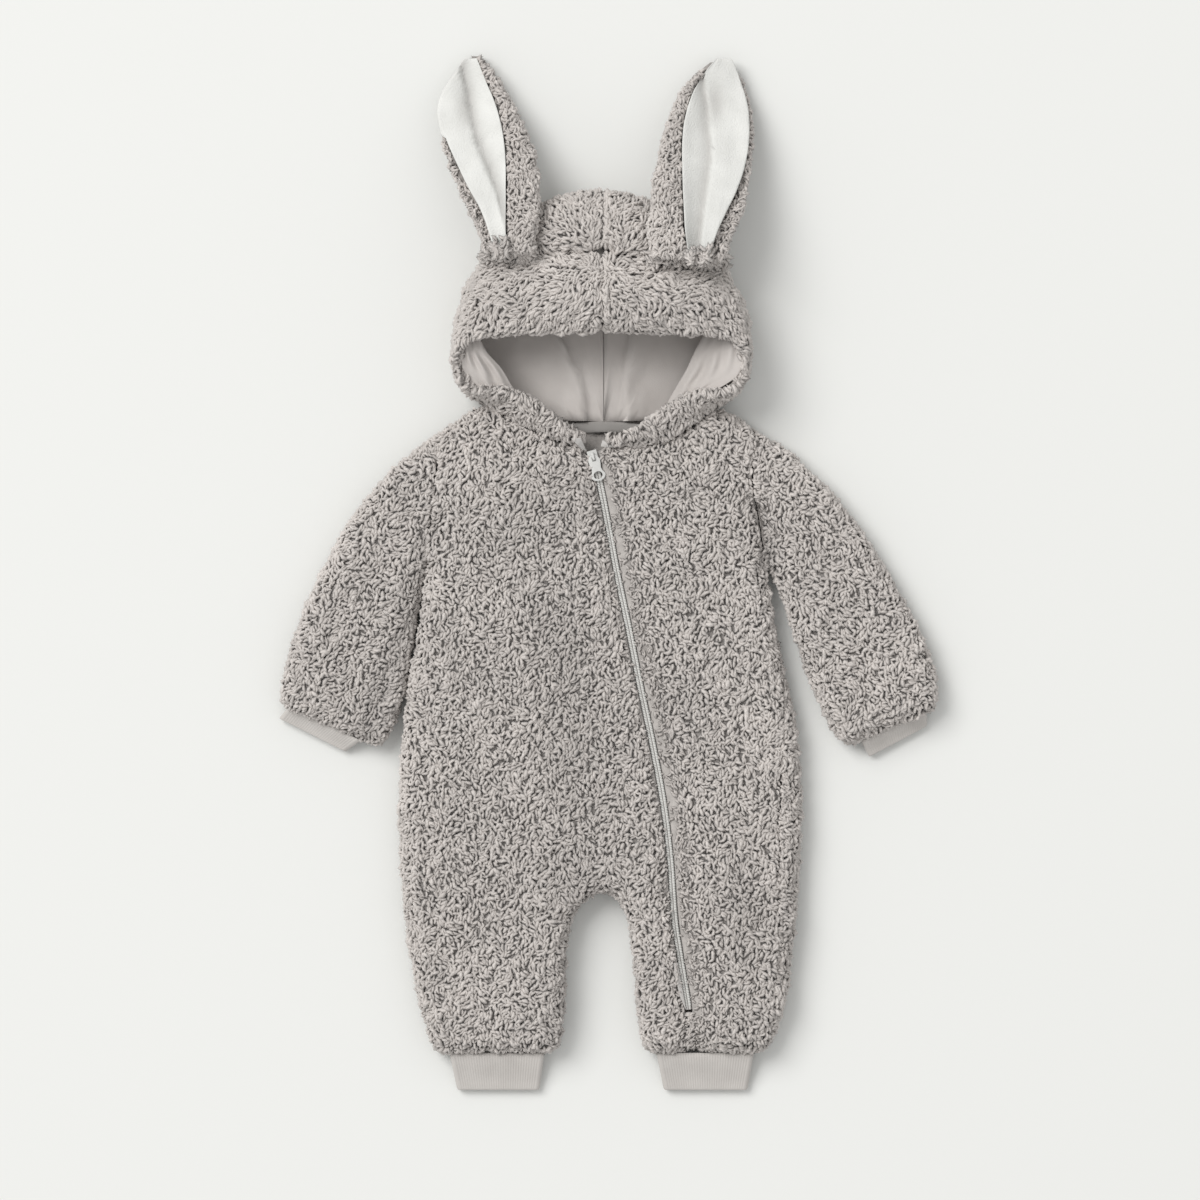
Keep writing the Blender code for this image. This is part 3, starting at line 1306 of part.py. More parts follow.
def main():
    fleece = make_material("teddy fleece", (0.46, 0.44, 0.42), 1.0)
    rib = make_material("rib knit", (0.52, 0.49, 0.47), 0.9)
    jersey = make_material("jersey lining", (0.36, 0.34, 0.33), 0.85)
    plush = make_material("short plush", (0.86, 0.86, 0.83), 0.95)
    woven = make_material("zip tape", (0.76, 0.76, 0.73), 0.7)
    lacquer = make_material("lacquered metal", (0.8, 0.8, 0.78), 0.35, 0.2)
    make_front_right(fleece)
    make_front_left(fleece)
    make_back(fleece)
    wrists = {"right": WRIST_RIGHT, "left": WRIST_LEFT}
    ankles = {"right": ANKLE_RIGHT, "left": ANKLE_LEFT}
    for side in ("right", "left"):
        make_sleeve(side, fleece)
        make_cuff(f"cuff_{side}", wrists[side], CUFF_DROOP, rib)
        make_cuff(f"ankle_cuff_{side}", ankles[side], CUFF_DROOP, rib)
        make_hood(side, fleece, jersey)
        make_ear(side, fleece, plush)
        make_zip_tape(side, woven)
    make_neck_tape(woven)
    base = make_slider(lacquer)
    make_pull_tab(base, lacquer)


clear_scene()
ROMPER = bpy.data.objects.new("romper", None)
ROMPER.location = Vector((*CENTRING, 0)) * MM
bpy.context.collection.objects.link(ROMPER)
main()
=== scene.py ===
# %% [markdown]
# # A teddy-fleece baby romper with rabbit ears
# The frame holds the romper's rigid pieces: panels, sleeves, hood, ears, cuffs and zip.
# This lesson dresses them: curled pile on the fleece, ribs on the cuffs, folds in the
# jersey lining, and coils on the zip. Everything is in metres. +X is the wearer's left,
# +Y runs from the feet to the ears, and +Z points up from the floor.

# %% Load the frame
import json
import math

import bmesh
import bpy
import numpy as np
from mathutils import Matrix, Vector
from mathutils.bvhtree import BVHTree

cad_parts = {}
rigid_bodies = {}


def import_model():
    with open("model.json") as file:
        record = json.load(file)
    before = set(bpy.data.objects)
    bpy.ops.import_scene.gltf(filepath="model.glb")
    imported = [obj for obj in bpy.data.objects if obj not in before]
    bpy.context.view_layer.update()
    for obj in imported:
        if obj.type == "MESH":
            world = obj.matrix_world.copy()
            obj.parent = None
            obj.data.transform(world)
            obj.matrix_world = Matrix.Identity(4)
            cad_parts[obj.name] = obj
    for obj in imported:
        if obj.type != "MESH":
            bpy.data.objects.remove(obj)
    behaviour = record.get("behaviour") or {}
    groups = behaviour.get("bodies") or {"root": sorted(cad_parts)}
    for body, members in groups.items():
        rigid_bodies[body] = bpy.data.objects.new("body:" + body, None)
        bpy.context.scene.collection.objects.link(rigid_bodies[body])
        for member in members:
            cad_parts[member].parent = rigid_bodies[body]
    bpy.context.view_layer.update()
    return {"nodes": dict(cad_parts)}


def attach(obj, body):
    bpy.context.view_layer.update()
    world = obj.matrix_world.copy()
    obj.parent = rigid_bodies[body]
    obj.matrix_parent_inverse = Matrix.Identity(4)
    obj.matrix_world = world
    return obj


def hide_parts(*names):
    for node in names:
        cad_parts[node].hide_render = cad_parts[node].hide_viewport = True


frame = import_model()
MM = 0.001
BODY = "romper"
print("nodes in the frame:", len(frame["nodes"]))

# %% [markdown]
# Sizes below are in millimetres as a maker lays the garment out, and the finished
# model's box is centred on the origin, so every place is moved by the same small step.

# %% Places in millimetres
CENTRING = np.array([1.8, -1.0, 0.0])


def place(points):
    """Millimetres in the layout to metres in the frame: p -> (p + step) * 0.001."""
    return (np.asarray(points, float) + CENTRING) * MM


# %% [markdown]
# ## Camera, floor and light
# The romper is photographed from straight above on a pale ground. A long lens far away
# keeps the hood, which stands up, almost as large as the layout says. The light is one
# large soft source from the upper left, and a pale surrounding that fills the shadows.

# %% Camera
VIEW_MM = 936.0
LENS, SENSOR = 200.0, 36.0
centre = place([-7.8, -18.7, 0.0])
camera = bpy.data.objects.new("camera", bpy.data.cameras.new("camera"))
camera.data.lens, camera.data.sensor_width = LENS, SENSOR
camera.data.sensor_fit = "HORIZONTAL"
camera.location = (centre[0], centre[1], VIEW_MM * MM * LENS / SENSOR)
camera.data.clip_end = 50
bpy.context.collection.objects.link(camera)
bpy.context.scene.camera = camera


# %% [markdown]
# ## Helpers for materials
# Each cloth below is one Principled shader with a colour, a roughness and a fine bump.
# Small functions add the nodes, so that a material reads as a short recipe.

# %% Materials: small helpers
def new_material(name, roughness, **constant):
    """A material with its Principled shader, and plain numbers on the shader's sockets."""
    material = bpy.data.materials.new(name)
    material.use_nodes = True
    shader = material.node_tree.nodes["Principled BSDF"]
    shader.inputs["Roughness"].default_value = roughness
    for socket, value in constant.items():
        shader.inputs[socket.replace("_", " ")].default_value = value
    return material, material.node_tree, shader


def node(tree, kind, **settings):
    made = tree.nodes.new(kind)
    for name, value in settings.items():
        if name in made.inputs:
            made.inputs[name].default_value = value
        else:
            setattr(made, name, value)
    return made


def object_noise(tree, scale, detail):
    """Noise on Object coordinates, which stay with the piece; its output is Fac."""
    where = node(tree, "ShaderNodeTexCoord")
    noise = node(tree, "ShaderNodeTexNoise", Scale=scale, Detail=detail)
    tree.links.new(where.outputs["Object"], noise.inputs["Vector"])
    return noise.outputs["Fac"]


def stored(tree, name):
    """An attribute that a piece carries on its points."""
    return node(tree, "ShaderNodeAttribute", attribute_name=name).outputs["Fac"]


def colour_ramp(tree, value, low, high, ends=(0.0, 1.0)):
    ramp = node(tree, "ShaderNodeValToRGB")
    ramp.color_ramp.elements[0].position, ramp.color_ramp.elements[1].position = ends
    ramp.color_ramp.elements[0].color = (*low, 1)
    ramp.color_ramp.elements[1].color = (*high, 1)
    tree.links.new(value, ramp.inputs["Fac"])
    return ramp.outputs["Color"]


def blend(tree, factor, low, high, how="MIX"):
    """One colour from two. Each input is a plain value or another node's output."""
    mix = node(tree, "ShaderNodeMix", data_type="RGBA", blend_type=how)
    for name, value in (("Factor", factor), ("A", low), ("B", high)):
        if isinstance(value, bpy.types.NodeSocket):
            tree.links.new(value, mix.inputs[name])
        else:
            mix.inputs[name].default_value = value
    return mix.outputs["Result"]


def bump(tree, shader, height, distance, strength, under=None):
    made = node(tree, "ShaderNodeBump", Distance=distance, Strength=strength)
    tree.links.new(height, made.inputs["Height"])
    if under is not None:
        tree.links.new(under, made.inputs["Normal"])
    tree.links.new(made.outputs["Normal"], shader.inputs["Normal"])
    return made.outputs["Normal"]


# %% Floor and light
def make_floor():
    mesh = bpy.data.meshes.new("ground")
    s = 6.0
    mesh.from_pydata([(-s, -s, 0), (s, -s, 0), (s, s, 0), (-s, s, 0)], [], [(0, 1, 2, 3)])
    ground = bpy.data.objects.new("ground", mesh)
    ground.location.z = -0.0006
    bpy.context.collection.objects.link(ground)
    material, _, shader = new_material("pale ground", 0.95)
    shader.inputs["Base Color"].default_value = (0.80, 0.805, 0.785, 1)
    mesh.materials.append(material)


def soft_light(name, at, size, power, colour):
    """A square area light that faces the origin."""
    lamp = bpy.data.objects.new(name, bpy.data.lights.new(name, "AREA"))
    lamp.data.size, lamp.data.energy, lamp.data.color = size, power, colour
    lamp.location = at
    lamp.rotation_euler = Vector(at).to_track_quat("Z", "Y").to_euler()
    bpy.context.collection.objects.link(lamp)


make_floor()
soft_light("window", (-8.2, 6.6, 11.7), 9.0, 1640.0, (1.0, 0.995, 0.985))
world = bpy.data.worlds.new("studio")
world.use_nodes = True
world.node_tree.nodes["Background"].inputs["Color"].default_value = (1.0, 1.0, 0.995, 1)
world.node_tree.nodes["Background"].inputs["Strength"].default_value = 0.64
bpy.context.scene.world = world
bpy.context.scene.view_settings.view_transform = "Standard"

# %% [markdown]
# ## Cloth under the pile
# Teddy fleece is a knitted ground with curled pile on its outside. The frame's pieces
# already have the cloth's shape in coarse facets. A copy is merged, its seams are kept
# sharp, and Subdivision Surface rounds the rest. Pile grows only where a face looks out
# into the open, so a short ray from each facet asks whether anything is close in front.

# %% Which facets look out into the open
SHARP = math.radians(50)
REACH = 18 * MM
BODY_CLOTH = ("back", "front_right", "front_left")
HOOD_LININGS = ("hood_lining_right", "hood_lining_left")


def read(items, field, width=1, kind=float):
    """One property of all items of a mesh: an array with a row for each."""
    values = np.empty(len(items) * width, kind)
    items.foreach_get(field, values)
    return values.reshape(-1, width) if width > 1 else values


def points_of(mesh):
    return read(mesh.vertices, "co", 3)


def normals_of(mesh):
    return read(mesh.vertex_normals, "vector", 3)


def face_areas(mesh):
    return read(mesh.polygons, "area")


def corners_of(mesh):
    """The three points of each triangle."""
    mesh.calc_loop_triangles()
    return read(mesh.loop_triangles, "vertices", 3, np.int32)


def tree_of(names):
    """One search tree over the triangles of several nodes of the frame."""
    points, triangles, start = [], [], 0
    for name in names:
        mesh = bpy.data.objects[name].data
        points.append(points_of(mesh))
        triangles.append(corners_of(mesh) + start)
        start += len(mesh.vertices)
    return BVHTree.FromPolygons(
        np.concatenate(points).tolist(), np.concatenate(triangles).tolist()
    )


everything = tree_of(frame["nodes"])


def looks_out(mesh, cavity, reach):
    """True for faces with nothing 1.5 mm in front, and none of the cavity's cloth in reach."""
    near = tree_of(cavity)
    out = []
    for face in mesh.polygons:
        start = face.center + face.normal * 0.1 * MM
        seam = everything.ray_cast(start, face.normal, 1.5 * MM)[0]
        inside = near.ray_cast(start, face.normal, reach)[0]
        out.append(seam is None and inside is None)
    return np.array(out)


def merged_copy(node_name):
    """The node's mesh with its doubles merged and edges over 50 degrees sharp."""
    mesh = bpy.data.objects[node_name].data.copy()
    mesh.materials.clear()
    work = bmesh.new()
    work.from_mesh(mesh)
    bmesh.ops.remove_doubles(work, verts=work.verts, dist=5e-6)
    work.to_mesh(mesh)
    work.free()
    mesh.set_sharp_from_angle(angle=SHARP)
    return mesh


def store(mesh, name, values, domain="POINT"):
    attribute = mesh.attributes.new(name, "FLOAT", domain)
    attribute.data.foreach_set("value", np.asarray(values, np.float32))


def move_points(mesh, points):
    mesh.vertices.foreach_set("co", points.ravel())
    mesh.update()


# %% Round a copy, with its corners kept
def sharp_edges(mesh, degrees):
    """Edges that bend by more than this, and how many of them meet at each point."""
    mesh.set_sharp_from_angle(angle=math.radians(degrees))
    sharp = np.zeros(len(mesh.edges), bool)
    if "sharp_edge" in mesh.attributes:
        mesh.attributes["sharp_edge"].data.foreach_get("value", sharp)
    ends = read(mesh.edges, "vertices", 2, np.int32)
    return sharp, np.bincount(ends[sharp].ravel(), minlength=len(mesh.vertices))


def crease_sharp_edges(mesh):
    """Creases edges over 50 degrees, and pins a corner of the cut: a point with two such
    edges and a third over 22 degrees."""
    _, slight = sharp_edges(mesh, 22)
    sharp, count = sharp_edges(mesh, 50)
    store(mesh, "crease_edge", sharp, "EDGE")
    store(mesh, "crease_vert", (count >= 2) & (slight >= 3))


def rounded(node_name, levels, cavity=None, reach=REACH, smooth=True):
    """A subdivided copy, rounded or only split. Material index 0 marks faces that look
    out, and 1 the others."""
    mesh = merged_copy(node_name)
    if cavity is not None:
        hidden = ~looks_out(mesh, cavity, reach)
        mesh.polygons.foreach_set("material_index", hidden.astype(np.int32))
    crease_sharp_edges(mesh)
    holder = bpy.data.objects.new("holder", mesh)
    bpy.context.collection.objects.link(holder)
    modifier = holder.modifiers.new("round", "SUBSURF")
    modifier.levels = modifier.render_levels = levels
    modifier.subdivision_type = "CATMULL_CLARK" if smooth else "SIMPLE"
    graph = bpy.context.evaluated_depsgraph_get()
    made = bpy.data.meshes.new_from_object(holder.evaluated_get(graph))
    bpy.data.objects.remove(holder)
    return made


def outside_normals(mesh):
    """At each point the mean normal of its faces that look out, and 0 where none does."""
    corner = read(mesh.loops, "vertex_index", kind=np.int32)
    index = read(mesh.polygons, "material_index", kind=np.int32)
    total = read(mesh.polygons, "loop_total", kind=np.int32)
    weight = np.where(index == 0, face_areas(mesh), 0)[:, None]
    weighted = np.repeat(read(mesh.polygons, "normal", 3) * weight, total, axis=0)
    count = len(mesh.vertices)
    summed = np.stack([np.bincount(corner, weighted[:, k], count) for k in range(3)], 1)
    length = np.linalg.norm(summed, axis=1)[:, None]
    return np.where(length > 1e-12, summed / np.maximum(length, 1e-12), 0)


def add_piece(name, mesh, material, nodes=()):
    """Puts a mesh in the scene as a piece of the romper that stands for some nodes."""
    mesh.materials.clear()
    mesh.materials.append(material)
    flat = np.zeros(len(mesh.polygons), np.int32)
    mesh.polygons.foreach_set("material_index", flat)
    mesh.shade_smooth()
    piece = bpy.data.objects.new(name, mesh)
    bpy.context.collection.objects.link(piece)
    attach(piece, BODY)
    if nodes:
        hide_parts(*nodes)
    return piece


# %% [markdown]
# ## The zip's line and the lie of the pile
# The pile is long on the panels, short where a seam or the zip squeezes it, and pressed
# flat in a strip beside the zip. Its curls lie mostly towards the feet, along a sleeve
# towards the wrist, and away from the hood's middle seam, with waves in between.

# %% The zip's line and the length of the pile
ZIP_LINE = (
    ("y", "x"),
    (99.0, -15.0),
    (75.0, -8.5),
    (37.0, -1.0),
    (0.0, 6.0),
    (-40.0, 14.5),
    (-83.0, 23.0),
    (-130.0, 33.0),
    (-179.0, 42.0),
    (-222.0, 47.0),
    (-270.0, 50.5),
    (-314.0, 57.5),
    (-340.0, 61.5),
    (-371.0, 62.5),
)


def column(table, name):
    """One named column of a table."""
    return np.array([row[table[0].index(name)] for row in table[1:]], float)


ZIP_Y, ZIP_X = column(ZIP_LINE, "y")[::-1], column(ZIP_LINE, "x")[::-1]
ZIP_TOP, SLANT, FAR_OFF = 101.0, 0.98, 99


def step_up(value):
    """0 below 0, 1 above 1, and 3v^2 - 2v^3 between."""
    value = np.clip(value, 0, 1)
    return value * value * (3 - 2 * value)


def hill(value):
    """1 at 0, and exp(-v^2) on both sides."""
    return np.exp(-(value**2))


def from_zip(points):
    """Signed distance in millimetres from the zip's line, + towards the wearer's left:
    the distance along x times the line's slant. Above the zip it is a large one."""
    x, y = (points[:, 0] / MM - CENTRING[0]), (points[:, 1] / MM - CENTRING[1])
    off = (x - np.interp(y, ZIP_Y, ZIP_X)) * SLANT
    return np.where(y < ZIP_TOP, off, np.sign(off) * FAR_OFF)


def waves(points, length, seed):
    """Smooth noise from -1 to 1: a mean of six sine waves of about this wavelength."""
    rng = np.random.default_rng(seed)
    way = rng.normal(size=(6, 3))
    way *= (2 * math.pi / length) / np.linalg.norm(way, axis=1)[:, None]
    way *= rng.uniform(0.6, 1.5, 6)[:, None]
    return np.sin(points @ way.T + rng.uniform(0, 6.3, 6)).mean(1) * 1.7


def pressed(points):
    """1 in the strips beside the zip where the edge is folded back and pressed smooth: up
    to 10 mm wide on the wearer's left, where it narrows at two places, and 4 mm on the
    right. Both fade out at the zip's foot."""
    y = points[:, 1] / MM
    off = from_zip(points) + 1.6 * waves(points, 0.026, 21)
    narrow = 5.0 * hill((y + 55) / 55) + 4.0 * hill((y + 255) / 55)
    left, right = step_up((12.5 - narrow - off) / 4), step_up((5.5 + off) / 2.5)
    return np.where(off > 0, left, right) * step_up((y + 352) / 14)


def pile_length(points):
    """The pile's length as a share of the full 4 mm, shorter beside the zip."""
    off = from_zip(points)
    left, right = 1 - 0.5 * step_up((19 - off) / 6), 1 - 0.35 * step_up((8 + off) / 4)
    return np.where(off > 0, left, right) * (1 + 0.12 * waves(points, 0.045, 3))


# %% [markdown]
# ## Soft relief of the fronts
# Nothing is stuffed into the romper, but the fleece is springy. The fronts rise on both
# sides of the zip and sink into soft creases where a sleeve folds against the body.

# %% Relief in millimetres
CREASES = (
    ("line", "depth", "reach"),
    (((116, 52), (119, 31), (125, -1), (134, -39), (141, -62), (146, -80)), 7.0, 7.0),
    (((-140, 40), (-145, 10), (-153, -20), (-167, -62), (-181, -98), (-188, -118)), 5.0, 9.0),
    (((96, 84), (104, 66), (112, 48)), 3.0, 8.0),
    (((-60, 76), (-20, 62), (-8, 58)), 1.5, 10.0),
    (((22, 60), (60, 66), (92, 58)), 2.0, 11.0),
)


def off_line(points, line):
    """Distance in millimetres from a line on the floor plan, signed + on its right side
    going along it, and the share along it from 0 to 1."""
    p = points[:, :2] / MM - CENTRING[:2]
    line = np.array(line, float)
    a, d = line[:-1], np.diff(line, axis=0)
    t = np.clip(((p[:, None] - a) * d).sum(2) / (d * d).sum(1), 0, 1)
    near = a + t[..., None] * d
    gap = np.linalg.norm(p[:, None] - near, axis=2)
    k = gap.argmin(1)
    rows = np.arange(len(p))
    rel = p - near[rows, k]
    sign = np.sign(rel[:, 0] * d[k, 1] - rel[:, 1] * d[k, 0])
    return gap[rows, k] * sign, (k + t[rows, k]) / len(d)


def relief(points):
    """Rise of the fronts, to 6 mm at 100 mm right of the zip and 4 mm at 50 mm left of
    it, less the creases: depth * exp(-(d/reach)^2)."""
    off = from_zip(points)
    y = points[:, 1] / MM
    front = step_up((95 - y) / 30) * step_up((y + 372) / 40)
    right = 6.0 * step_up(-off / 95) * step_up((185 + off) / 70)
    left = 4.0 * step_up(off / 50) * step_up((105 - off) / 60)
    total = front * np.where(off < 0, right, left)
    for line, depth, reach in CREASES[1:]:
        total -= depth * hill(off_line(points, line)[0] / reach)
    return total * MM


# %% Which way the curls lie
HOOD_TOP = place([-5.0, 235.0, 60.0])
HOOD_PARTING = -3.3


def lie_of_body(points):
    """Towards the feet, and away from the zip close to it."""
    way = np.tile([0.0, -1.0, -0.2], (len(points), 1))
    off = from_zip(points)
    way[:, 0] += 0.4 * np.sign(off) * np.exp(-np.abs(off) / 60)
    way[:, 0] += 1.6 * np.sign(off) * step_up((8 - np.abs(off)) / 4)
    return way


def lie_of_sleeve(points):
    side = np.sign(points[:, :1])
    return np.hstack([side * 0.62, np.full_like(side, -0.78), np.full_like(side, -0.1)])


def lie_of_hood(points):
    """Away from the top of the hood, and over the brim towards the face."""
    way = points - HOOD_TOP
    way /= np.linalg.norm(way, axis=1)[:, None]
    way[:, 0] *= step_up(np.abs(points[:, 0] / MM - HOOD_PARTING) / 16)
    brim = step_up((HOOD_TOP[1] - 0.022 - points[:, 1]) / 0.02)[:, None]
    way += brim * np.array([0, -0.9, -0.3])
    return way


def lie_of_ear(points):
    side = np.sign(points[:, :1])
    return np.hstack([-0.25 * side, np.full_like(side, -0.9), np.full_like(side, 0.1)])


# %% [markdown]
# ## Curls of pile
# One curl is a bean: three three-sided rings between two tips, along a bent line that
# rises out of the ground, lies over and dips again. All the curls of a piece are one
# mesh, worked out as arrays with a row for each curl. A curl's place is a random spot on
# a face, and the number on a face follows its area, so that no face is left bare.

# %% Places for the curls
def spots(mesh, spacing, rng, where):
    """Evenly scattered points on the faces, with normals. Three random points are dropped
    per spacing squared, and one is kept in each cube of that spacing."""
    corners = corners_of(mesh)
    count = len(corners)
    owner = read(mesh.loop_triangles, "polygon_index", kind=np.int32)
    index = read(mesh.polygons, "material_index", kind=np.int32)
    points, normals = points_of(mesh), outside_normals(mesh)
    open_point = (normals**2).sum(1) > 0.5
    a, b, c = (points[corners[:, k]] for k in range(3))
    cross = np.cross(b - a, c - a)
    area = np.linalg.norm(cross, axis=1) / 2
    face_normal = cross / np.maximum(2 * area, 1e-12)[:, None]
    open_share = np.where(index[owner] == 0, 1, open_point[corners].mean(1))
    keep = where((a + b + c) / 3, face_normal, open_share)
    number = np.floor(3 * area / (spacing * MM) ** 2 * keep + rng.random(count)).astype(int)
    pick = np.repeat(np.arange(count), number)
    u, v = rng.random((2, len(pick)))
    flip = u + v > 1
    u, v = np.where(flip, 1 - u, u), np.where(flip, 1 - v, v)
    weight = np.stack([1 - u - v, u, v], axis=-1)[..., None]
    spot = (points[corners[pick]] * weight).sum(1)
    normal = (normals[corners[pick]] * weight).sum(1) + 0.4 * face_normal[pick]
    cube = np.floor(spot / (spacing * MM)).astype(np.int64) @ np.array([1, 4096, 4096**2])
    first = np.unique(cube, return_index=True)[1]
    spot, normal = spot[first], normal[first]
    return spot, normal / np.linalg.norm(normal, axis=1)[:, None]


# %% [markdown]
# ## Slow changes of shade
# Painted shade: the curls are darker in the dip beside the zip, along the left leg and in the
# creases under the arms, where the cloth turns from the light or lies in shade.
# This is added, with slow waves, to the shade that each curl gets by chance, so that the border of
# an area doesn't show.

# %% Where the pile gets painted shade
def tone_and_painted_shade(points):
    """Painted shade: darker in the dip between the zip and the right leg, along the left leg
    and under the arms, where shade falls on the pile; and elsewhere a little lighter or darker by
    slow waves."""
    x, y = points[:, 0] / MM, points[:, 1] / MM
    # Painted shade in the dip beside the zip, along the left leg's fold and in the creases under
    # the arms.
    hollow_shade = hill((x + 30) / 26) * step_up((10 - y) / 50) * step_up((y + 390) / 60)
    leg = hill((x - 104) / 14) * step_up((-170 - y) / 40) * step_up((y + 370) / 40)
    under_arms = CREASES[1:3]
    arm = sum(hill(off_line(points, line)[0] / reach) for line, _, reach in under_arms)
    return 0.14 * waves(points, 0.11, 51) - 0.36 * hollow_shade - 0.28 * leg - 0.5 * arm


# %% The curls of one piece
RING_SIDES = 3
STATIONS = np.array([0.0, 0.2, 0.5, 0.8, 1.0])
LIFT = np.array([0.0, 0.72, 1.0, 0.74, 0.2])
GIRTH = np.array([0.0, 0.9, 1.0, 0.8, 0.0])
CURL_LENGTH, CURL_HEIGHT, CURL_GIRTH = 7.8, (1.5, 3.9), (1.35, 2.1)


def curl_mesh(name, spot, normal, way, rng, size=1.0, wander=0.9, long=1.0):
    """Beans along arcs: heading = lie + waves + chance, and at share t the middle line is
    at L*sin(turn*(t-1/2))/turn along it and L*(1-cos(turn*(t-1/2)))/turn aside."""
    count = len(spot)
    way = way - (way * normal).sum(1)[:, None] * normal
    way /= np.maximum(np.linalg.norm(way, axis=1), 1e-9)[:, None]
    side = np.cross(normal, way)
    swing = wander * (1.2 * waves(spot, 0.028, 11) + 0.75 * rng.normal(size=count))
    ahead = way * np.cos(swing)[:, None] + side * np.sin(swing)[:, None]
    across = np.cross(normal, ahead)
    nap = pile_length(spot)
    beside_zip = step_up((7 - np.abs(from_zip(spot))) / 3)
    scale = size * rng.uniform(0.78, 1.22, count) * (1 - 0.35 * beside_zip)
    length = CURL_LENGTH * MM * long * scale * (0.55 + 0.45 * nap)
    turn = rng.choice([-1, 1], count) * rng.uniform(0.5, 2.3, count)
    tuft = 1 + 0.35 * waves(spot, 0.014, 31)
    height = MM * nap * rng.uniform(*CURL_HEIGHT, count) * size * tuft
    girth = MM * rng.uniform(*CURL_GIRTH, count) * scale * (0.7 + 0.3 * nap)
    angle = turn[:, None] * (STATIONS - 0.5)
    along = (length / turn)[:, None] * np.sin(angle)
    aside = (length / turn)[:, None] * (1 - np.cos(angle))
    up = height[:, None] * LIFT - 1.0 * MM * (1 - LIFT)
    middle = (
        spot[:, None]
        + ahead[:, None] * along[..., None]
        + across[:, None] * aside[..., None]
        + normal[:, None] * up[..., None]
    )
    heading = ahead[:, None] * np.cos(angle)[..., None] + across[:, None] * np.sin(angle)[..., None]
    wide = np.cross(normal[:, None], heading)
    round_angles = math.pi / 2 + 2 * math.pi * np.arange(RING_SIDES) / RING_SIDES
    out = (
        wide[:, 1:4, None] * np.cos(round_angles)[:, None]
        + 0.8 * normal[:, None, None] * np.sin(round_angles)[:, None]
    )
    rings = middle[:, 1:4, None] + out * (girth[:, None] * GIRTH[1:4])[:, :, None, None]
    points = np.concatenate([middle[:, :1], rings.reshape(count, -1, 3), middle[:, 4:]], axis=1)
    points[..., 2] = np.maximum(points[..., 2], 0.2 * MM)
    owner = np.repeat(np.arange(5), [1, RING_SIDES, RING_SIDES, RING_SIDES, 1])
    # lift drives painted light: lighter at each curl's top than at its sides, a painted highlight,
    # and darker towards its root, painted shade.
    over = ((points - middle[:, owner]) * normal[:, None]).sum(2) / girth[:, None]
    raised = ((points - spot[:, None]) * normal[:, None]).sum(2) / (5.5 * MM)
    lift = 0.42 * (over + 0.8) / 1.6 + 0.58 * raised
    faces = bean_faces()[None] + (points.shape[1] * np.arange(count))[:, None, None]
    mesh = mesh_from(name, points.reshape(-1, 3), faces.reshape(-1, 3))
    store(mesh, "lift", lift.ravel())
    # Each curl's shade: a chance difference, plus painted shade in the creases and dips and slow
    # waves from the function above.
    shade = 0.5 + 0.5 * (rng.random(count) - 0.5) + tone_and_painted_shade(spot)
    store(mesh, "shade", np.repeat(np.clip(shade, 0, 1), points.shape[1]))
    return mesh


def bean_faces():
    """Triangles of one bean: a fan, two bands of split quads, and a fan."""
    k = np.arange(RING_SIDES)
    nxt = (k + 1) % RING_SIDES
    faces = [np.stack([0 * k, 1 + nxt, 1 + k], -1)]
    for ring in range(2):
        a, b = 1 + ring * RING_SIDES, 1 + (ring + 1) * RING_SIDES
        faces += [np.stack([a + k, a + nxt, b + nxt], -1), np.stack([a + k, b + nxt, b + k], -1)]
    last = 1 + 2 * RING_SIDES
    faces.append(np.stack([last + k, last + nxt, 0 * k + last + RING_SIDES], -1))
    return np.concatenate(faces)


def mesh_from(name, points, faces):
    """A mesh from arrays, with no loop over its points."""
    mesh = bpy.data.meshes.new(name)
    mesh.vertices.add(len(points))
    mesh.vertices.foreach_set("co", np.asarray(points, np.float32).ravel())
    sides = faces.shape[1]
    mesh.loops.add(faces.size)
    mesh.loops.foreach_set("vertex_index", faces.astype(np.int32).ravel())
    mesh.polygons.add(len(faces))
    mesh.polygons.foreach_set("loop_start", np.arange(0, faces.size, sides, dtype=np.int32))
    mesh.update(calc_edges=True)
    mesh.validate()
    return mesh


# %% [markdown]
# ## Colours of the fleece
# The pile is a warm pale grey. Down between the curls it is darker, because little light
# gets there, and single curls differ a little. The attribute lift, stored on the curls,
# says how far out of the ground a point is and how near its curl's top, and drives the
# colour: painted shade low down and a painted highlight along each curl's top. The
# attribute shade adds painted shade in creases and dips to each curl's chance difference.

# %% Fleece materials
PILE_LOW, PILE_HIGH = (0.345, 0.32, 0.302), (0.655, 0.613, 0.582)
FLAT_LOW, FLAT_HIGH = (0.30, 0.28, 0.265), (0.56, 0.54, 0.515)
STRIP_LOW, STRIP_HIGH = (0.40, 0.377, 0.357), (0.52, 0.49, 0.465)
MOTTLE = (0.3, 0.7)


def pile_material():
    material, tree, shader = new_material(
        "curled pile", 0.95, Sheen_Weight=0.25, Sheen_Roughness=0.5, Specular_IOR_Level=0.2
    )
    # Painted light: lift gives each curl a painted highlight along its top and painted shade
    # towards its root; shade adds painted shade in creases and dips to the chance difference.
    depth = colour_ramp(tree, stored(tree, "lift"), PILE_LOW, PILE_HIGH, (0.12, 0.8))
    vary = colour_ramp(tree, stored(tree, "shade"), (0.82, 0.82, 0.82), (1.14, 1.14, 1.14))
    tree.links.new(blend(tree, 1, depth, vary, "MULTIPLY"), shader.inputs["Base Color"])
    coarse = bump(tree, shader, object_noise(tree, 520, 2), 0.0009, 0.7)
    bump(tree, shader, object_noise(tree, 1700, 2), 0.0003, 0.6, coarse)
    return material


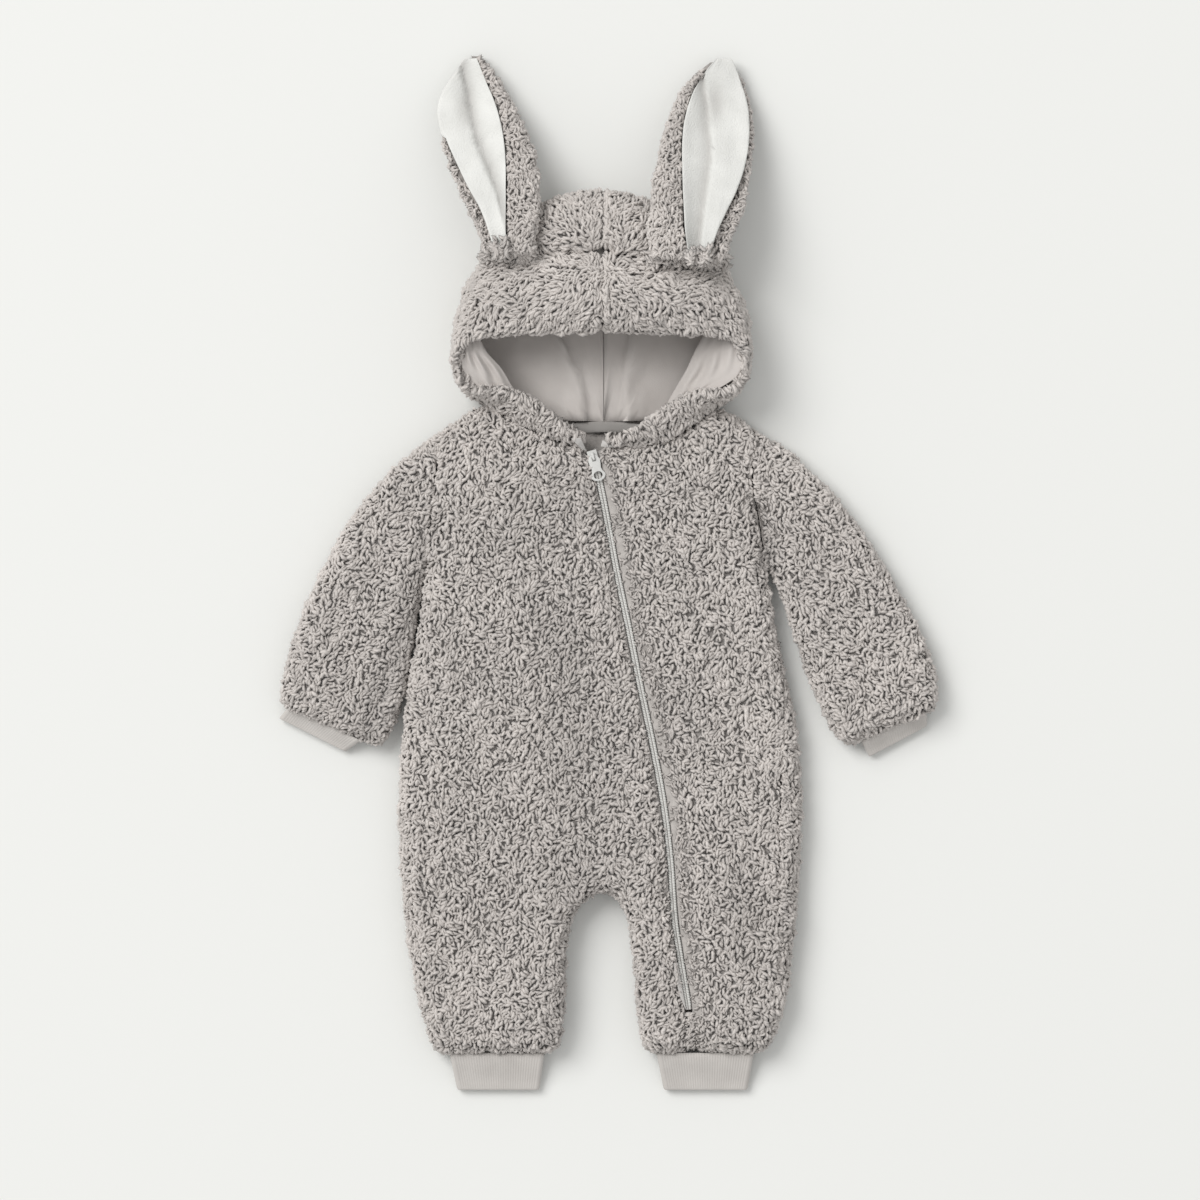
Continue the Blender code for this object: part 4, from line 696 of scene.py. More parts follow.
def ground_material():
    """The knitted ground: dark under the curls with painted shade, as at the curls' roots;
    pile pressed flat where there are none, and smooth in the strips beside the zip."""
    material, tree, shader = new_material(
        "fleece ground", 1.0, Sheen_Weight=0.2, Sheen_Roughness=0.5
    )
    smooth = stored(tree, "pressed")
    flat = colour_ramp(tree, object_noise(tree, 190, 4), FLAT_LOW, FLAT_HIGH, MOTTLE)
    strip = colour_ramp(tree, object_noise(tree, 160, 3), STRIP_LOW, STRIP_HIGH, MOTTLE)
    # Painted shade: under the curls the ground takes the curls' darkest root colour.
    cloth = blend(tree, stored(tree, "lift"), (*PILE_LOW, 1), flat)
    tree.links.new(blend(tree, smooth, cloth, strip), shader.inputs["Base Color"])
    rough = node(tree, "ShaderNodeMapRange")
    rough.inputs["To Min"].default_value, rough.inputs["To Max"].default_value = 1.0, 0.25
    tree.links.new(smooth, rough.inputs["Value"])
    height = node(tree, "ShaderNodeMath", operation="MULTIPLY")
    tree.links.new(object_noise(tree, 230, 4), height.inputs[0])
    tree.links.new(rough.outputs["Result"], height.inputs[1])
    bump(tree, shader, height.outputs["Value"], 0.003, 0.8)
    return material


pile = pile_material()
ground = ground_material()

# %% [markdown]
# ## Dressing the fleece pieces
# Each fleece piece becomes two: the ground, drawn in by the pile's depth so that the
# curls' tips end where the frame's piece does, and the curls.

# %% One fleece piece
INSET = 2.4 * MM
SPACING = 2.78
MOST_CURLS = 8000
HOOD_SEAM = -1.5 * MM
SEAM_REACH = 5 * MM


def covered(points, normals, open_share):
    """Where curls grow: where the cloth looks out, down to where it turns to the floor.
    Faces at a sewn edge have them above 9 mm, so that pile closes over the seam."""
    grown = (open_share > 0) * step_up((normals[:, 2] + 0.7) / 0.3)
    return grown * (1 - 0.85 * pressed(points)) * ((open_share > 0.9) | (points[:, 2] > 9 * MM))


def inset_at(points):
    """How far the ground lies under the frame's surface: the pile's depth."""
    return INSET * np.minimum(pile_length(points), 1.0) * (1 - 0.8 * pressed(points))

def over_middle_seam(spot, normal):
    """A second set of the curls within 5 mm of the hood's middle seam, moved on to it."""
    near = np.abs(spot[:, 0] - HOOD_SEAM) < SEAM_REACH
    moved = spot[near]
    moved[:, 0] = HOOD_SEAM + 0.2 * (moved[:, 0] - HOOD_SEAM)
    return np.concatenate([spot, moved]), np.concatenate([normal, normal[near]])


def fleece_side(spot):
    """False at the top and upper outer edge of an ear, where the plush is the edge."""
    x, y = spot[:, 0] / MM, spot[:, 1] / MM
    right = (x < -113 + 0.25 * (y - 340)) & (y > 340) & (y < 396)
    left = (x > 0) & (y > 391)
    return ~(right | left)


def dress(
    node_name, lie, seed, cavity, reach=REACH, size=1.0, long=1.0, wander=0.9,
    raised=False,
):
    """Two pieces in a node's place: its ground, drawn in by the pile's depth, and curls
    that start from the same drawn-in surface."""
    ground_mesh = rounded(node_name, 1, cavity, reach)
    points, outward = points_of(ground_mesh), outside_normals(ground_mesh)
    bare = 1 - step_up((outward[:, 2] + 0.9) / 0.2)
    moved = points - outward * (inset_at(points) * (1 - bare))[:, None]
    if raised:
        moved[:, 2] += step_up(outward[:, 2] / 0.6) * relief(points)
    move_points(ground_mesh, moved)
    store(ground_mesh, "lift", bare)
    store(ground_mesh, "pressed", pressed(points))
    one_layer = face_areas(ground_mesh).sum() / 2
    base = add_piece(f"{node_name}_ground", ground_mesh, ground, [node_name])
    fine = rounded(node_name, 2, cavity, reach)
    rng = np.random.default_rng(seed)
    spot, normal = spots(fine, SPACING * size, rng, covered)
    bpy.data.meshes.remove(fine)
    spot = spot - normal * inset_at(spot)[:, None]
    if raised:
        spot[:, 2] += step_up(normal[:, 2] / 0.6) * relief(spot)
    if node_name.startswith("hood"):
        spot, normal = over_middle_seam(spot, normal)
    if node_name.startswith("ear"):
        kept = fleece_side(spot)
        spot, normal = spot[kept], normal[kept]
    parts = 1 + len(spot) // MOST_CURLS
    borders = np.sort(spot[:, 1])[np.arange(1, parts) * len(spot) // parts]
    for part in range(parts):
        chosen = np.searchsorted(borders, spot[:, 1]) == part
        at = spot[chosen]
        mesh = curl_mesh(
            f"{node_name}_pile", at, normal[chosen], lie(at), rng, size, wander, long
        )
        add_piece(f"{node_name}_pile" + ("", "_upper")[part], mesh, pile)


# %% Dress the panels, sleeves, hood and ears
dress("back", lie_of_body, 1, BODY_CLOTH, raised=True)
for side, seed, flat, share in (("right", 2, (0.25, 0.52), 0.62), ("left", 3, (0.16, 0.52), 0.56)):
    dress(
        f"front_{side}", lie_of_body, seed, BODY_CLOTH,
        raised=True,
    )
for side, seed in (("right", 4), ("left", 5)):
    dress(
        f"sleeve_{side}", lie_of_sleeve, seed, (f"sleeve_{side}",),
        raised=True,
    )
    dress(
        f"hood_band_{side}", lie_of_hood, seed + 4, HOOD_LININGS, 5 * MM,
        long=1.25, wander=0.6,
    )
    dress(
        f"hood_back_{side}", lie_of_hood, seed + 6, HOOD_LININGS, 5 * MM,
        long=1.25, wander=0.6,
    )
    dress(
        f"ear_{side}", lie_of_ear, seed + 8, (f"ear_plush_{side}",),
        6 * MM, size=0.9, long=1.1,
    )

# %% [markdown]
# ## Rib cuffs
# Each cuff is a strip of double rib knit, folded and sewn into a flat tube. Its ribs run
# along the arm or leg. The tube is one closed surface: a flat oval with small waves,
# carried from the sewn end to the open end, round a soft lip and back inside.

# %% Knit materials
def knit_material(name, low, high, scale, depth, hollow_shade=None):
    """Cloth in two near shades with a fine bump, and where a shade colour is given, painted shade
    that is darkest where the piece's shade attribute is 1.
    """
    material, tree, shader = new_material(
        name, 0.9, Sheen_Weight=0.15, Sheen_Roughness=0.5, Specular_IOR_Level=0.25
    )
    colour = colour_ramp(tree, object_noise(tree, 45, 4), low, high, MOTTLE)
    if hollow_shade is not None:
        colour = blend(tree, stored(tree, "hollow_shade"), colour, (*hollow_shade, 1))
    tree.links.new(colour, shader.inputs["Base Color"])
    bump(tree, shader, object_noise(tree, scale, 2), depth, 0.5)
    return material


rib = knit_material("rib knit", (0.51, 0.483, 0.458), (0.585, 0.557, 0.53), 1300, 0.0004)
jersey = knit_material("jersey", (0.53, 0.495, 0.47), (0.585, 0.55, 0.525), 1500, 0.0003)
grey_tape = knit_material("grey tape", (0.30, 0.285, 0.272), (0.34, 0.325, 0.31), 1500, 0.0004)
tape = knit_material("white tape", (0.58, 0.56, 0.54), (0.64, 0.62, 0.60), 1500, 0.0004)
# The plush's last colour is painted shade, for its valley and dent.
plush = knit_material(
    "short plush", (0.68, 0.68, 0.655), (0.76, 0.76, 0.735), 800, 0.0016, (0.50, 0.49, 0.47)
)

# %% Flat tubes for the cuffs
CUFF_ENDS = (
    ("name", "sewn_a", "sewn_b", "open_a", "open_b"),
    ("cuff_right", (-248, -99), (-194, -128), (-258, -111), (-206, -137)),
    ("cuff_left", (195, -128), (246, -103), (202, -141), (247, -117)),
    ("ankle_cuff_right", (-125, -371), (-51, -371), (-119, -400.6), (-55, -400.6)),
    ("ankle_cuff_left", (36, -371), (112, -371), (42, -400.6), (107, -400.6)),
)
CUFF_HALF, CUFF_INNER, SEWN_HEIGHT, OPEN_HEIGHT = 3.3, 0.9, 12.0, 4.0
RIB_PITCH, RIB_DEPTH, RIB_POINTS, ARC_POINTS = 2.3, 0.32, 6, 8


def flat_oval(width, half, across):
    """Points round a flat oval: straight over the top, half a circle, and the same turned
    round. Gives x, z, the outward direction, and the place across as 0 to 1."""
    t = (np.arange(across) + 0.5) / across
    turn = (np.arange(ARC_POINTS) + 0.5) / ARC_POINTS * math.pi
    flat = width / 2 - CUFF_HALF
    x = np.append(-flat + 2 * flat * t, flat + half * np.sin(turn))
    out = np.stack([np.append(0 * t, np.sin(turn)), np.append(0 * t + 1, np.cos(turn))], 1)
    z = half * out[:, 1]
    share = np.concatenate([t, 0 * turn + 1, 1 - t, 0 * turn])
    return np.append(x, -x), np.append(z, -z), np.concatenate([out, -out]), share


def make_rib_cuff(name, sewn_a, sewn_b, open_a, open_b, seed):
    """Tube point = middle(v) + across(v)*x + up*(z + height(v)), and the wall stands out
    by depth*(|cos(pi n t)| - 0.8) for n ribs."""
    sewn_a, sewn_b, open_a, open_b = (np.array(p, float) for p in (sewn_a, sewn_b, open_a, open_b))
    ribs = round(np.linalg.norm(sewn_b - sewn_a) / RIB_PITCH)
    profile = [(v, CUFF_HALF, RIB_DEPTH) for v in np.linspace(0, 0.94, 9)]
    profile += [(0.975, 2.95, 0.2), (0.995, 2.35, 0.05), (0.99, 1.6, 0), (0.96, 1.1, 0)]
    profile += [(v, CUFF_INNER, 0) for v in (0.8, 0.4, 0.0)]
    rings = []
    for v, half, depth in profile:
        a, b = sewn_a + (open_a - sewn_a) * v, sewn_b + (open_b - sewn_b) * v
        width = np.linalg.norm(b - a)
        x, z, out, share = flat_oval(width, half, ribs * RIB_POINTS)
        wave = depth * (np.abs(np.cos(math.pi * ribs * share)) - 0.8)
        x, z = x + out[:, 0] * wave, z + out[:, 1] * wave
        flat = (a + b) / 2 + (b - a) / width * x[:, None]
        height = SEWN_HEIGHT + (OPEN_HEIGHT - SEWN_HEIGHT) * step_up(v * 1.05)
        rings.append(np.column_stack([flat, z + height]))
    points = place(np.array(rings))
    soft = waves(points.reshape(-1, 3) * [1, 0.4, 0.2], 0.02, seed).reshape(points.shape[:2])
    points[..., 2] += 0.35 * MM * soft * np.linspace(1, 0.2, len(points))[:, None]
    points[..., 2] = np.maximum(points[..., 2], 0.3 * MM)
    faces = grid_faces(len(points), points.shape[1], True, True)
    return mesh_from(name, points.reshape(-1, 3), faces)


def grid_faces(rows, columns, close_rows=False, close_columns=False):
    """Quads of a grid; a closed side joins its last line to its first."""
    i, j = np.indices((rows - (not close_rows), columns - (not close_columns)))
    i2, j2 = (i + 1) % rows, (j + 1) % columns
    corners = (i * columns + j, i2 * columns + j, i2 * columns + j2, i * columns + j2)
    return np.stack(corners, -1).reshape(-1, 4)


def face_outwards(mesh):
    work = bmesh.new()
    work.from_mesh(mesh)
    bmesh.ops.recalc_face_normals(work, faces=work.faces)
    work.to_mesh(mesh)
    work.free()


for row, (name, *corners) in enumerate(CUFF_ENDS[1:]):
    mesh = make_rib_cuff(f"{name}_rib", *corners, seed=40 + row)
    face_outwards(mesh)
    cuff = add_piece(f"{name}_rib", mesh, rib, [name])
    print(name, "triangles", 2 * len(mesh.polygons))

# %% [markdown]
# ## Hood lining
# The lining is plain grey jersey in two halves. It is wider than the space at the neck, so
# it falls into soft folds beside the centre seam. A fold here is a smooth step: it rises
# steeply on one side of a drawn line and fades slowly on the other.

# %% Fold lines, on the floor plan
FOLDS = (
    ("line", "rise", "steep", "slow"),
    (
        ((-38, 196), (-36.7, 182.5), (-29, 162), (-21, 142.7), (-19.5, 120.9), (-19.5, 110)),
        6.0, -1.7, 12.0,
    ),
    (((17, 196), (15.6, 183.3), (10.9, 154.4), (12.5, 123.2), (13, 110)), 5.5, 1.6, -10.0),
    (((-6.5, 137), (3, 153), (14, 170.8), (20, 180)), 1.3, 3.0, -6.0),
    (((17.2, 150), (24, 166), (32.8, 179.4)), 1.5, 3.0, -8.0),
    (((-60, 176), (-48, 150), (-40, 128)), 1.2, -6.0, 9.0),
    (((-34, 140), (-31, 128), (-30, 112)), 1.0, -2.5, 3.5),
    (((-27, 136), (-26, 126), (-25, 112)), 0.8, -2.0, 2.5),
    (((26, 140), (24, 128), (23, 112)), 0.8, 2.0, -3.0),
)


def fold_height(points):
    """Sum over the folds of rise * exp(-|d|/reach) with a short reach on the steep side,
    fading in at the line's ends."""
    height = np.zeros(len(points))
    for line, rise, steep, slow in FOLDS[1:]:
        off, along = off_line(points, line)
        side = np.where(off * np.sign(steep) > 0, abs(steep), abs(slow))
        ends = step_up(along / 0.12) * step_up((1 - along) / 0.06)
        height += rise * ends * np.exp(-((np.abs(off) / side) ** 1.4))
    return height


# %% The lining's two halves
LINING_SEAM, SEAM_EDGE, SEAM_GAP = -1.5, 0.6, 0.13
for side in ("right", "left"):
    mesh = rounded(f"hood_lining_{side}", 2, smooth=False)
    points = points_of(mesh)
    low = step_up((30 * MM - points[:, 2]) / (12 * MM)) * step_up((208 - points[:, 1] / MM) / 14)
    points[:, 2] += low * MM * (fold_height(points) + 0.5 * waves(points, 0.03, 61))
    from_seam = points[:, 0] - LINING_SEAM * MM
    on_seam = np.abs(from_seam) < SEAM_EDGE * MM
    points[:, 0] -= np.where(on_seam, SEAM_GAP * MM * np.sign(from_seam), 0)
    move_points(mesh, points)
    area = face_areas(mesh).sum() / 2
    lining = add_piece(f"hood_lining_{side}_cloth", mesh, jersey, [f"hood_lining_{side}"])
    print("lining", side, "cloth/cut", round(area / (0.2 * 0.3 * 0.52), 2))

# %% [markdown]
# ## Lining that shows at the hood's sides
# At the two ends of the opening the lining turns up on to the wall towards the brim. On
# the wearer's left it faces the light. Each is a strip between an outer edge under the
# brim and an inner fold, with a few wrinkles that run along it.

# %% Turned-up strips of lining
TURN_UPS = {
    "right": (
        ("in_x", "in_y", "in_z", "out_x", "out_y", "out_z"),
        (-104, 196, 44, -119, 192, 47),
        (-97, 176, 42, -116, 171, 48),
        (-84, 160.5, 39, -113, 157, 47),
        (-75.5, 146.5, 35, -103, 144, 43),
        (-69, 141, 30, -83, 135, 38),
        (-58, 131, 24, -60, 128, 34),
    ),
    "left": (
        ("in_x", "in_y", "in_z", "out_x", "out_y", "out_z"),
        (78, 197, 34, 106, 194, 44),
        (67, 177, 33, 104, 174, 48),
        (58.5, 159, 28, 99, 155, 47),
        (49, 142.7, 22, 74, 140, 42),
        (41, 128, 19, 50, 128, 36),
        (36, 119, 18, 40, 120, 32),
    ),
}
ALONG, ACROSS, FACE_ON_TOP = 70, 40, 1500
ROLL_DOWN, ROLL_UNDER = np.array([4.5, 2.5, 1.0]), np.array([3.0, 1.4, 0.5])


def wrinkles(t, v, seed):
    """Five sine waves that run mostly along the strip: sin(2 pi (f t + g v) + phase)."""
    rng = np.random.default_rng(seed)
    f, g, phase = rng.uniform(1.2, 4.0, 5), rng.uniform(-0.5, 0.5, 5), rng.uniform(0, 6.3, 5)
    return np.sin(2 * math.pi * (t[..., None] * f + v[..., None] * g) + phase).mean(-1) * 2


def smooth_curve(at, places, values):
    """Curve through values at rising places: cubic pieces with the values' mean slopes."""
    slope = np.gradient(values, places)
    k = np.floor(np.interp(at, places, np.arange(len(places)))).astype(int)
    k = np.clip(k, 0, len(places) - 2)
    span = places[k + 1] - places[k]
    t = (at - places[k]) / span
    return (
        values[k] * (2 * t**3 - 3 * t**2 + 1)
        + span * slope[k] * (t**3 - 2 * t**2 + t)
        + values[k + 1] * (3 * t**2 - 2 * t**3)
        + span * slope[k + 1] * (t**3 - t**2)
    )


def turned_strip(name, rows, seed):
    """Between the two edges of each row: point = in + (out - in)*t, bowed and wrinkled,
    with its inner edge rolled down."""
    rows = np.array(rows[1:], float)
    v = np.linspace(0, len(rows) - 1, ALONG)
    line = np.stack([smooth_curve(v, np.arange(len(rows)), rows[:, k]) for k in range(6)], 1)
    t = np.linspace(0, 1, ACROSS)[None, :, None]
    points = line[:, None, :3] * (1 - t) + line[:, None, 3:] * t
    fade = np.sin(math.pi * t[..., 0]) ** 0.5
    points[..., 2] += 1.8 * fade + 1.5 * fade * wrinkles(t[..., 0], v[:, None], seed)
    under = points[:, :1] - np.array([0, 0, 1]) * ROLL_DOWN[None, :, None]
    under[..., 0] += np.sign(rows[0, 3] - rows[0, 0]) * ROLL_UNDER
    points = np.concatenate([under, points], axis=1)
    faces = grid_faces(ALONG, points.shape[1])
    mesh = mesh_from(name, place(points).reshape(-1, 3), faces)
    if mesh.polygons[FACE_ON_TOP].normal.z < 0:
        mesh.flip_normals()
    return mesh


def thicken(piece, thickness):
    """Gives a single surface its cloth's thickness, closed at the edges."""
    wall = piece.modifiers.new("thickness", "SOLIDIFY")
    wall.thickness, wall.offset = thickness, -1.0


for side, rows in TURN_UPS.items():
    mesh = turned_strip(f"lining_turn_{side}", rows, 70)
    area = face_areas(mesh).sum()
    strip = add_piece(f"lining_turn_{side}", mesh, jersey)
    thicken(strip, 0.8 * MM)
    print("turned strip", side, "area", round(area, 5))

# %% [markdown]
# ## Ears' pale inside
# The inside of each ear is white short plush, pinched along a valley. On one side of it
# the plush swells to a lobe, on the other it has short folds across, and near the tip
# a dent. Along the ear's outer edge it stands out a little past the fleece, and curls
# close over its sewn foot.

# %% Plush with its valley
DENTS = {"right": (-111.0, 364.0), "left": (82.0, 368.0)}
VALLEYS = {
    "right": (
        ((-117, 392), (-113, 376), (-106, 339), (-96, 315), (-88, 295), (-82, 270), (-78, 250)),
        ((-99, 337), (-90, 342), (-82, 347)),
        ((-92, 313), (-87, 318), (-80, 322)),
    ),
    "left": (
        ((74, 385), (77, 364), (79, 321), (72.5, 278), (70, 255)),
        ((87.4, 295), (75.7, 273)),
        ((98, 330), (88, 322)),
    ),
}
TIP, TIP_STRETCH, RIM_OUT = 0.016, 0.26, 2.6 * MM


def shape_plush(mesh, side):
    """Moves the plush up beside its valley, down in the folds across and in the dent, out
    at its rim, and on at its tip. Stores painted shade, by how deep a point lies beside the valley
    and in the dent."""
    valley, *folds = VALLEYS[side]
    points, normals = points_of(mesh), normals_of(mesh)
    up = step_up(normals[:, 2] / 0.5)
    off = off_line(points, valley)[0] * (1 if side == "left" else -1)
    lobe = 1 - step_up((off + 1.0) / 3.0)
    swell = 4.4 * lobe * (1 - 0.35 * step_up((-off - 9) / 14)) + 3.2 * step_up(off / 14)
    for line in folds:
        swell -= 1.8 * (1 - lobe) * hill(off_line(points, line)[0] / 3.2)
    ripple = 0.3 * waves(points, 0.012, 81), 0.9 * waves(points, 0.03, 82)
    points[:, 2] += up * MM * (swell + ripple[0] + ripple[1])
    dip = points[:, :2] / MM - CENTRING[:2] - DENTS[side]
    dent = np.exp(-((dip[:, 0] / 7) ** 2) - (dip[:, 1] / 15) ** 2)
    points[:, 2] -= up * MM * 1.6 * dent
    # Painted shade: darkest just beside the valley, on the side away from the lobe, and in the dent
    # near the tip.
    store(mesh, "hollow_shade", up * np.maximum((1 - lobe) * hill(np.maximum(off, 0) / 7), 0.8 * dent))
    rim = np.hypot(normals[:, 0], normals[:, 1]) * ~fleece_side(points)
    rim *= step_up((0.392 - points[:, 1]) / 0.016)
    points[:, :2] += RIM_OUT * rim[:, None] * normals[:, :2]
    past = np.maximum(points[:, 1] - (points[:, 1].max() - TIP), 0)
    points[:, 1] += TIP_STRETCH * past
    move_points(mesh, points)
    return points, normals


# %% Curls over the plush's foot
COVER, SKIRT = 60, 170


def highest(places):
    """Height of the frame's topmost cloth at each place, from rays straight down."""
    down = Vector((0, 0, -1))
    hits = [everything.ray_cast(Vector((x, y, 0.2)), down, 0.3)[0] for x, y, _ in places]
    return np.array([hit.z if hit else 0.0 for hit in hits])


def add_tuft(name, spot, up, rng, size, wander, long):
    """Curls at chosen spots, which stand up this way and lie towards the feet."""
    count = len(spot)
    upright, way = np.tile(up, (count, 1)), np.tile([0, -1.0, 0], (count, 1))
    mesh = curl_mesh(name, spot, upright, way, rng, size, wander, long)
    add_piece(name, mesh, pile)


def ear_tuft(side, points, normals):
    """Curls scattered over the plush's foot, and a skirt of them from the ear's lower edge
    down to the hood: height = top + (base - top)*chance."""
    rng = np.random.default_rng(90)
    foot = points[(points[:, 1] < points[:, 1].min() + 9 * MM) & (normals[:, 2] > 0.3)]
    scatter = rng.integers(0, len(foot), COVER), rng.normal(0, 1.4, (COVER, 3))
    cover = foot[scatter[0]] + scatter[1] * MM * [1, 1.4, 0.3]
    ear = points_of(bpy.data.objects[f"ear_{side}"].data)
    edge_y = ear[:, 1].min()
    edge = ear[ear[:, 1] < edge_y + 0.014, 0]
    x = rng.uniform(edge.min(), edge.max(), SKIRT)
    drop = rng.random(SKIRT)
    skirt = np.column_stack([x, edge_y + (0.006 - 0.012 * drop), 0 * x])
    top = highest(skirt + [0, 0.008, 0])
    base = highest(skirt * [1, 0, 0] + [0, edge_y - 0.008, 0])
    skirt[:, 2] = top + (base - top) * drop - 0.002
    spot = np.concatenate([cover, skirt])
    add_tuft(f"ear_tuft_{side}", spot, [0.0, -0.4, 0.92], rng, 1.0, 1.0, 1.25)


for side in VALLEYS:
    mesh = rounded(f"ear_plush_{side}", 2)
    points, normals = shape_plush(mesh, side)
    area = face_areas(mesh).sum() / 2
    inner = add_piece(f"ear_plush_{side}_cloth", mesh, plush, [f"ear_plush_{side}"])
    print("plush", side, "cloth/cut", round(area / (0.06 * 0.165 * 0.65), 2))
    ear_tuft(side, points, normals)

# %% [markdown]
# ## Neck tape
# The seam between hood and back is covered by a narrow grey tape, so that it doesn't rub
# the neck. It is woven, so it gets the same fine bump as the knits and no folds.

# %% Neck tape
mesh = rounded("neck_tape", 2)
band = add_piece("neck_tape_cloth", mesh, grey_tape, ["neck_tape"])
face_areas(mesh).sum() / 2

# %% [markdown]
# ## Zip
# A coil zip has a wound nylon thread sewn to each tape, and from the front it reads as a
# row of small oval loops. Each loop is an ovoid of 24 triangles, 1.25 mm from the next.
# Its height is read off the frame's tape below it.

# %% Coil
COIL_PITCH, COIL_TOP, COIL_FOOT, COIL_OFF = 1.25, 82.0, -335.0, 1.35
LOOP_SIZE = np.array([1.28, 0.56, 0.75]) * MM
zip_tree = tree_of(["zip_tape_right", "zip_tape_left"])


def zip_x(y):
    """The zip's line in layout millimetres: a smooth curve through ZIP_LINE."""
    return smooth_curve(y, ZIP_Y, ZIP_X)


def tape_height(x, y):
    """Height of the frame's tape under places in metres, from rays straight down, as a
    running mean of 13 places."""
    down = Vector((0, 0, -1))
    hits = [zip_tree.ray_cast(Vector((px, py, 0.1)), down, 0.2)[0] for px, py in zip(x, y)]
    found = np.array([hit.z if hit else np.nan for hit in hits])
    rows = np.arange(len(found))
    good = ~np.isnan(found)
    found = np.interp(rows, rows[good], found[good])
    return np.convolve(np.pad(found, 6, "edge"), np.ones(13) / 13, "valid")


def oval():
    """Directions of an ovoid: two poles and two rings of six, with its 24 triangles."""
    turn = np.arange(6) * math.pi / 3
    ring = np.stack([0 * turn, np.cos(turn), np.sin(turn)], 1)
    ends = [[-1, 0, 0]], [[1, 0, 0]]
    points = np.concatenate([ends[0], ring * 0.9 + [-0.5, 0, 0], ring * 0.9 + [0.5, 0, 0], ends[1]])
    k = np.arange(6)
    n = (k + 1) % 6
    faces = np.concatenate([
        np.stack([0 * k, 1 + n, 1 + k], 1), np.stack([1 + k, 1 + n, 7 + n], 1),
        np.stack([1 + k, 7 + n, 7 + k], 1), np.stack([0 * k + 13, 7 + k, 7 + n], 1),
    ])
    return points, faces


def coil(side):
    """One ovoid per pitch, at the zip's line + aside*1.35, slanted a little; the wearer's
    left side is half a pitch on."""
    y = np.arange(COIL_TOP, COIL_FOOT, -COIL_PITCH) + (COIL_PITCH / 2 if side > 0 else 0)
    x = zip_x(y)
    down = np.stack([zip_x(y - 1) - x, -np.ones_like(y)], 1)
    down /= np.linalg.norm(down, axis=1)[:, None]
    aside = np.stack([-down[:, 1], down[:, 0]], 1)
    centre = place(np.column_stack([np.stack([x, y], 1) + aside * side * COIL_OFF, 0 * y]))
    centre[:, 2] = tape_height(centre[:, 0], centre[:, 1]) + 0.15 * MM
    points, faces = oval()
    aside, down = np.column_stack([aside, 0 * y]), np.column_stack([down, 0 * y])
    wide, thick, high = LOOP_SIZE
    slanted = down * thick + aside * thick * 0.25 * side
    axes = np.stack([aside * wide, slanted, np.tile([0, 0, high], (len(y), 1))], 1)
    all_points = centre[:, None] + np.einsum("pk,ckd->cpd", points, axes)
    all_faces = faces[None] + len(points) * np.arange(len(y))[:, None, None]
    return mesh_from("coil", all_points.reshape(-1, 3), all_faces.reshape(-1, 3))


nylon, _, shader = new_material("coil nylon", 0.42)
shader.inputs["Base Color"].default_value = (0.76, 0.76, 0.735, 1)
for side, word in ((-1, "right"), (1, "left")):
    mesh = coil(side)
    face_outwards(mesh)
    add_piece(f"zip_coil_{word}", mesh, nylon)
    print("coil", word, "loops", len(mesh.polygons) // 24)
    for slot in bpy.data.objects[f"zip_tape_{word}"].material_slots:
        slot.material = tape

# %% [markdown]
# ## Slider, pull tab and the ends of the tape
# The slider and its tab are cast metal under a thick lacquer, so a Bevel softens their
# edges. Each end of the zip's tape is a small white flap, turned over and sewn down on
# the fleece. Below the zip's foot the pile closes over the seam.

# %% Slider and pull tab
lacquer, _, shader = new_material("off-white lacquer", 0.28, Coat_Weight=0.3, Coat_Roughness=0.15)
shader.inputs["Base Color"].default_value = (0.66, 0.66, 0.64, 1)
for name, body in (("zip_slider", BODY), ("zip_pull_tab", "pull_tab")):
    mesh = merged_copy(name)
    metal = add_piece(f"{name}_metal", mesh, lacquer, [name])
    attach(metal, body)
    mesh.set_sharp_from_angle(angle=SHARP)
    bevel = metal.modifiers.new("edges", "BEVEL")
    bevel.width, bevel.segments = 0.28 * MM, 2
    bevel.limit_method, bevel.angle_limit = "ANGLE", math.radians(35)
    print(name, "faces", len(mesh.polygons))

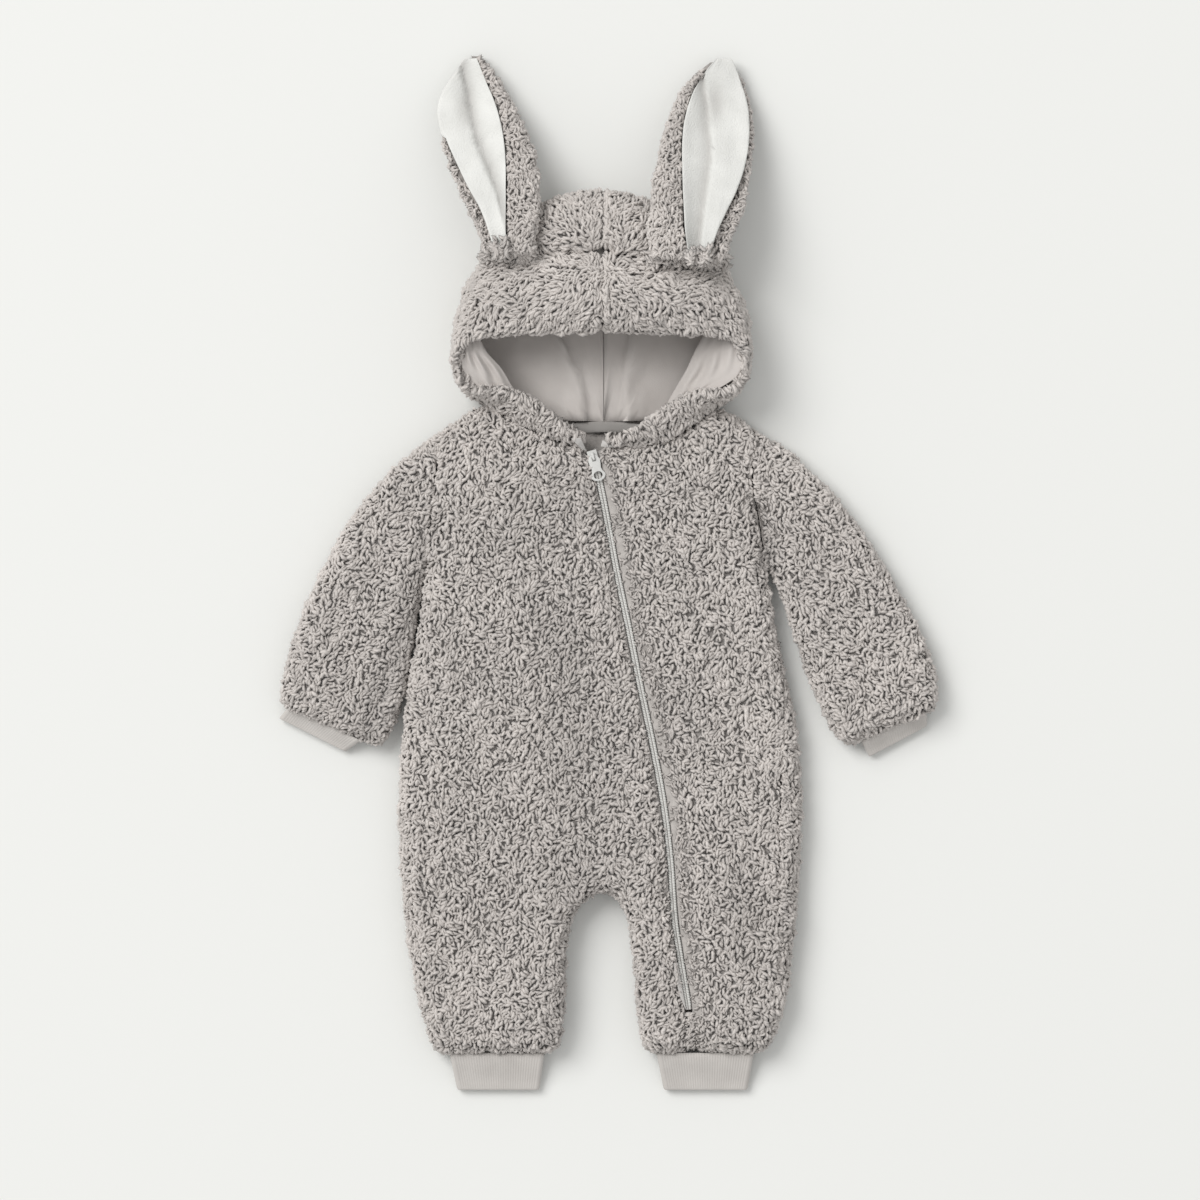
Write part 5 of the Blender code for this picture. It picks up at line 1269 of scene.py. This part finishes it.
# %% Zip tape's turned-over ends
TAPE_ENDS = {
    "right": ((-30.1, 106.2), (-22.6, 106.8), (-18, 96.7), (-21.5, 98.0), (-26, 102.5)),
    "foot": ((49.3, -300.5), (51.4, -314), (55.2, -328.4), (59.2, -337), (52.8, -300.5)),
    "left": ((-7.4, 100.5), (-5.9, 105.3), (9.6, 104.2), (7.0, 100.6), (-1.0, 99.2)),
}
for side, outline in TAPE_ENDS.items():
    outline = np.column_stack([np.array(outline), np.zeros(len(outline))])
    outline[:, 2] = highest(place(outline)) / MM + (1.2 if side == "foot" else 2.2)
    outline[:, 2] = 0.5 * outline[:, 2] + 0.5 * outline[:, 2].max()
    mesh = bpy.data.meshes.new(f"tape_end_{side}")
    mesh.from_pydata(place(outline).tolist(), [], [tuple(range(len(outline)))])
    if mesh.polygons[0].normal.z < 0:
        mesh.flip_normals()
    end = add_piece(f"tape_end_{side}", mesh, tape)
    thicken(end, 0.7 * MM)
    soft = end.modifiers.new("soft edge", "BEVEL")
    soft.width, soft.segments = 0.25 * MM, 2
    area = mesh.polygons[0].area
    flat = (0.012, 0.011) if side != "foot" else (0.011, 0.04)
    print("tape end", side, "area in mm2", round(area * 1e6, 1))

# %% Pile closed over the zip's foot
FOOT_CURLS, FOOT_FROM, FOOT_TO = 60, -368, -338.5
rng = np.random.default_rng(95)
y = rng.uniform(FOOT_FROM, FOOT_TO, FOOT_CURLS)
spot = place(np.column_stack([zip_x(y) + rng.normal(0, 1.4, FOOT_CURLS), y, 0 * y]))
beside = np.array([4 * MM, 0, 0])
spot[:, 2] = np.maximum(highest(spot + beside), highest(spot - beside)) - 1.6 * MM
add_tuft("zip_foot_tuft", spot, [0, 0, 1.0], rng, 1.35, 1.2, 1.2)

# %% Count
graph = bpy.context.evaluated_depsgraph_get()
total = 0
for piece in bpy.context.scene.objects:
    if piece.type == "MESH" and not piece.hide_render and piece.name != "ground":
        made = piece.evaluated_get(graph).to_mesh()
        made.calc_loop_triangles()
        total += len(made.loop_triangles)
print("triangles that show:", total)
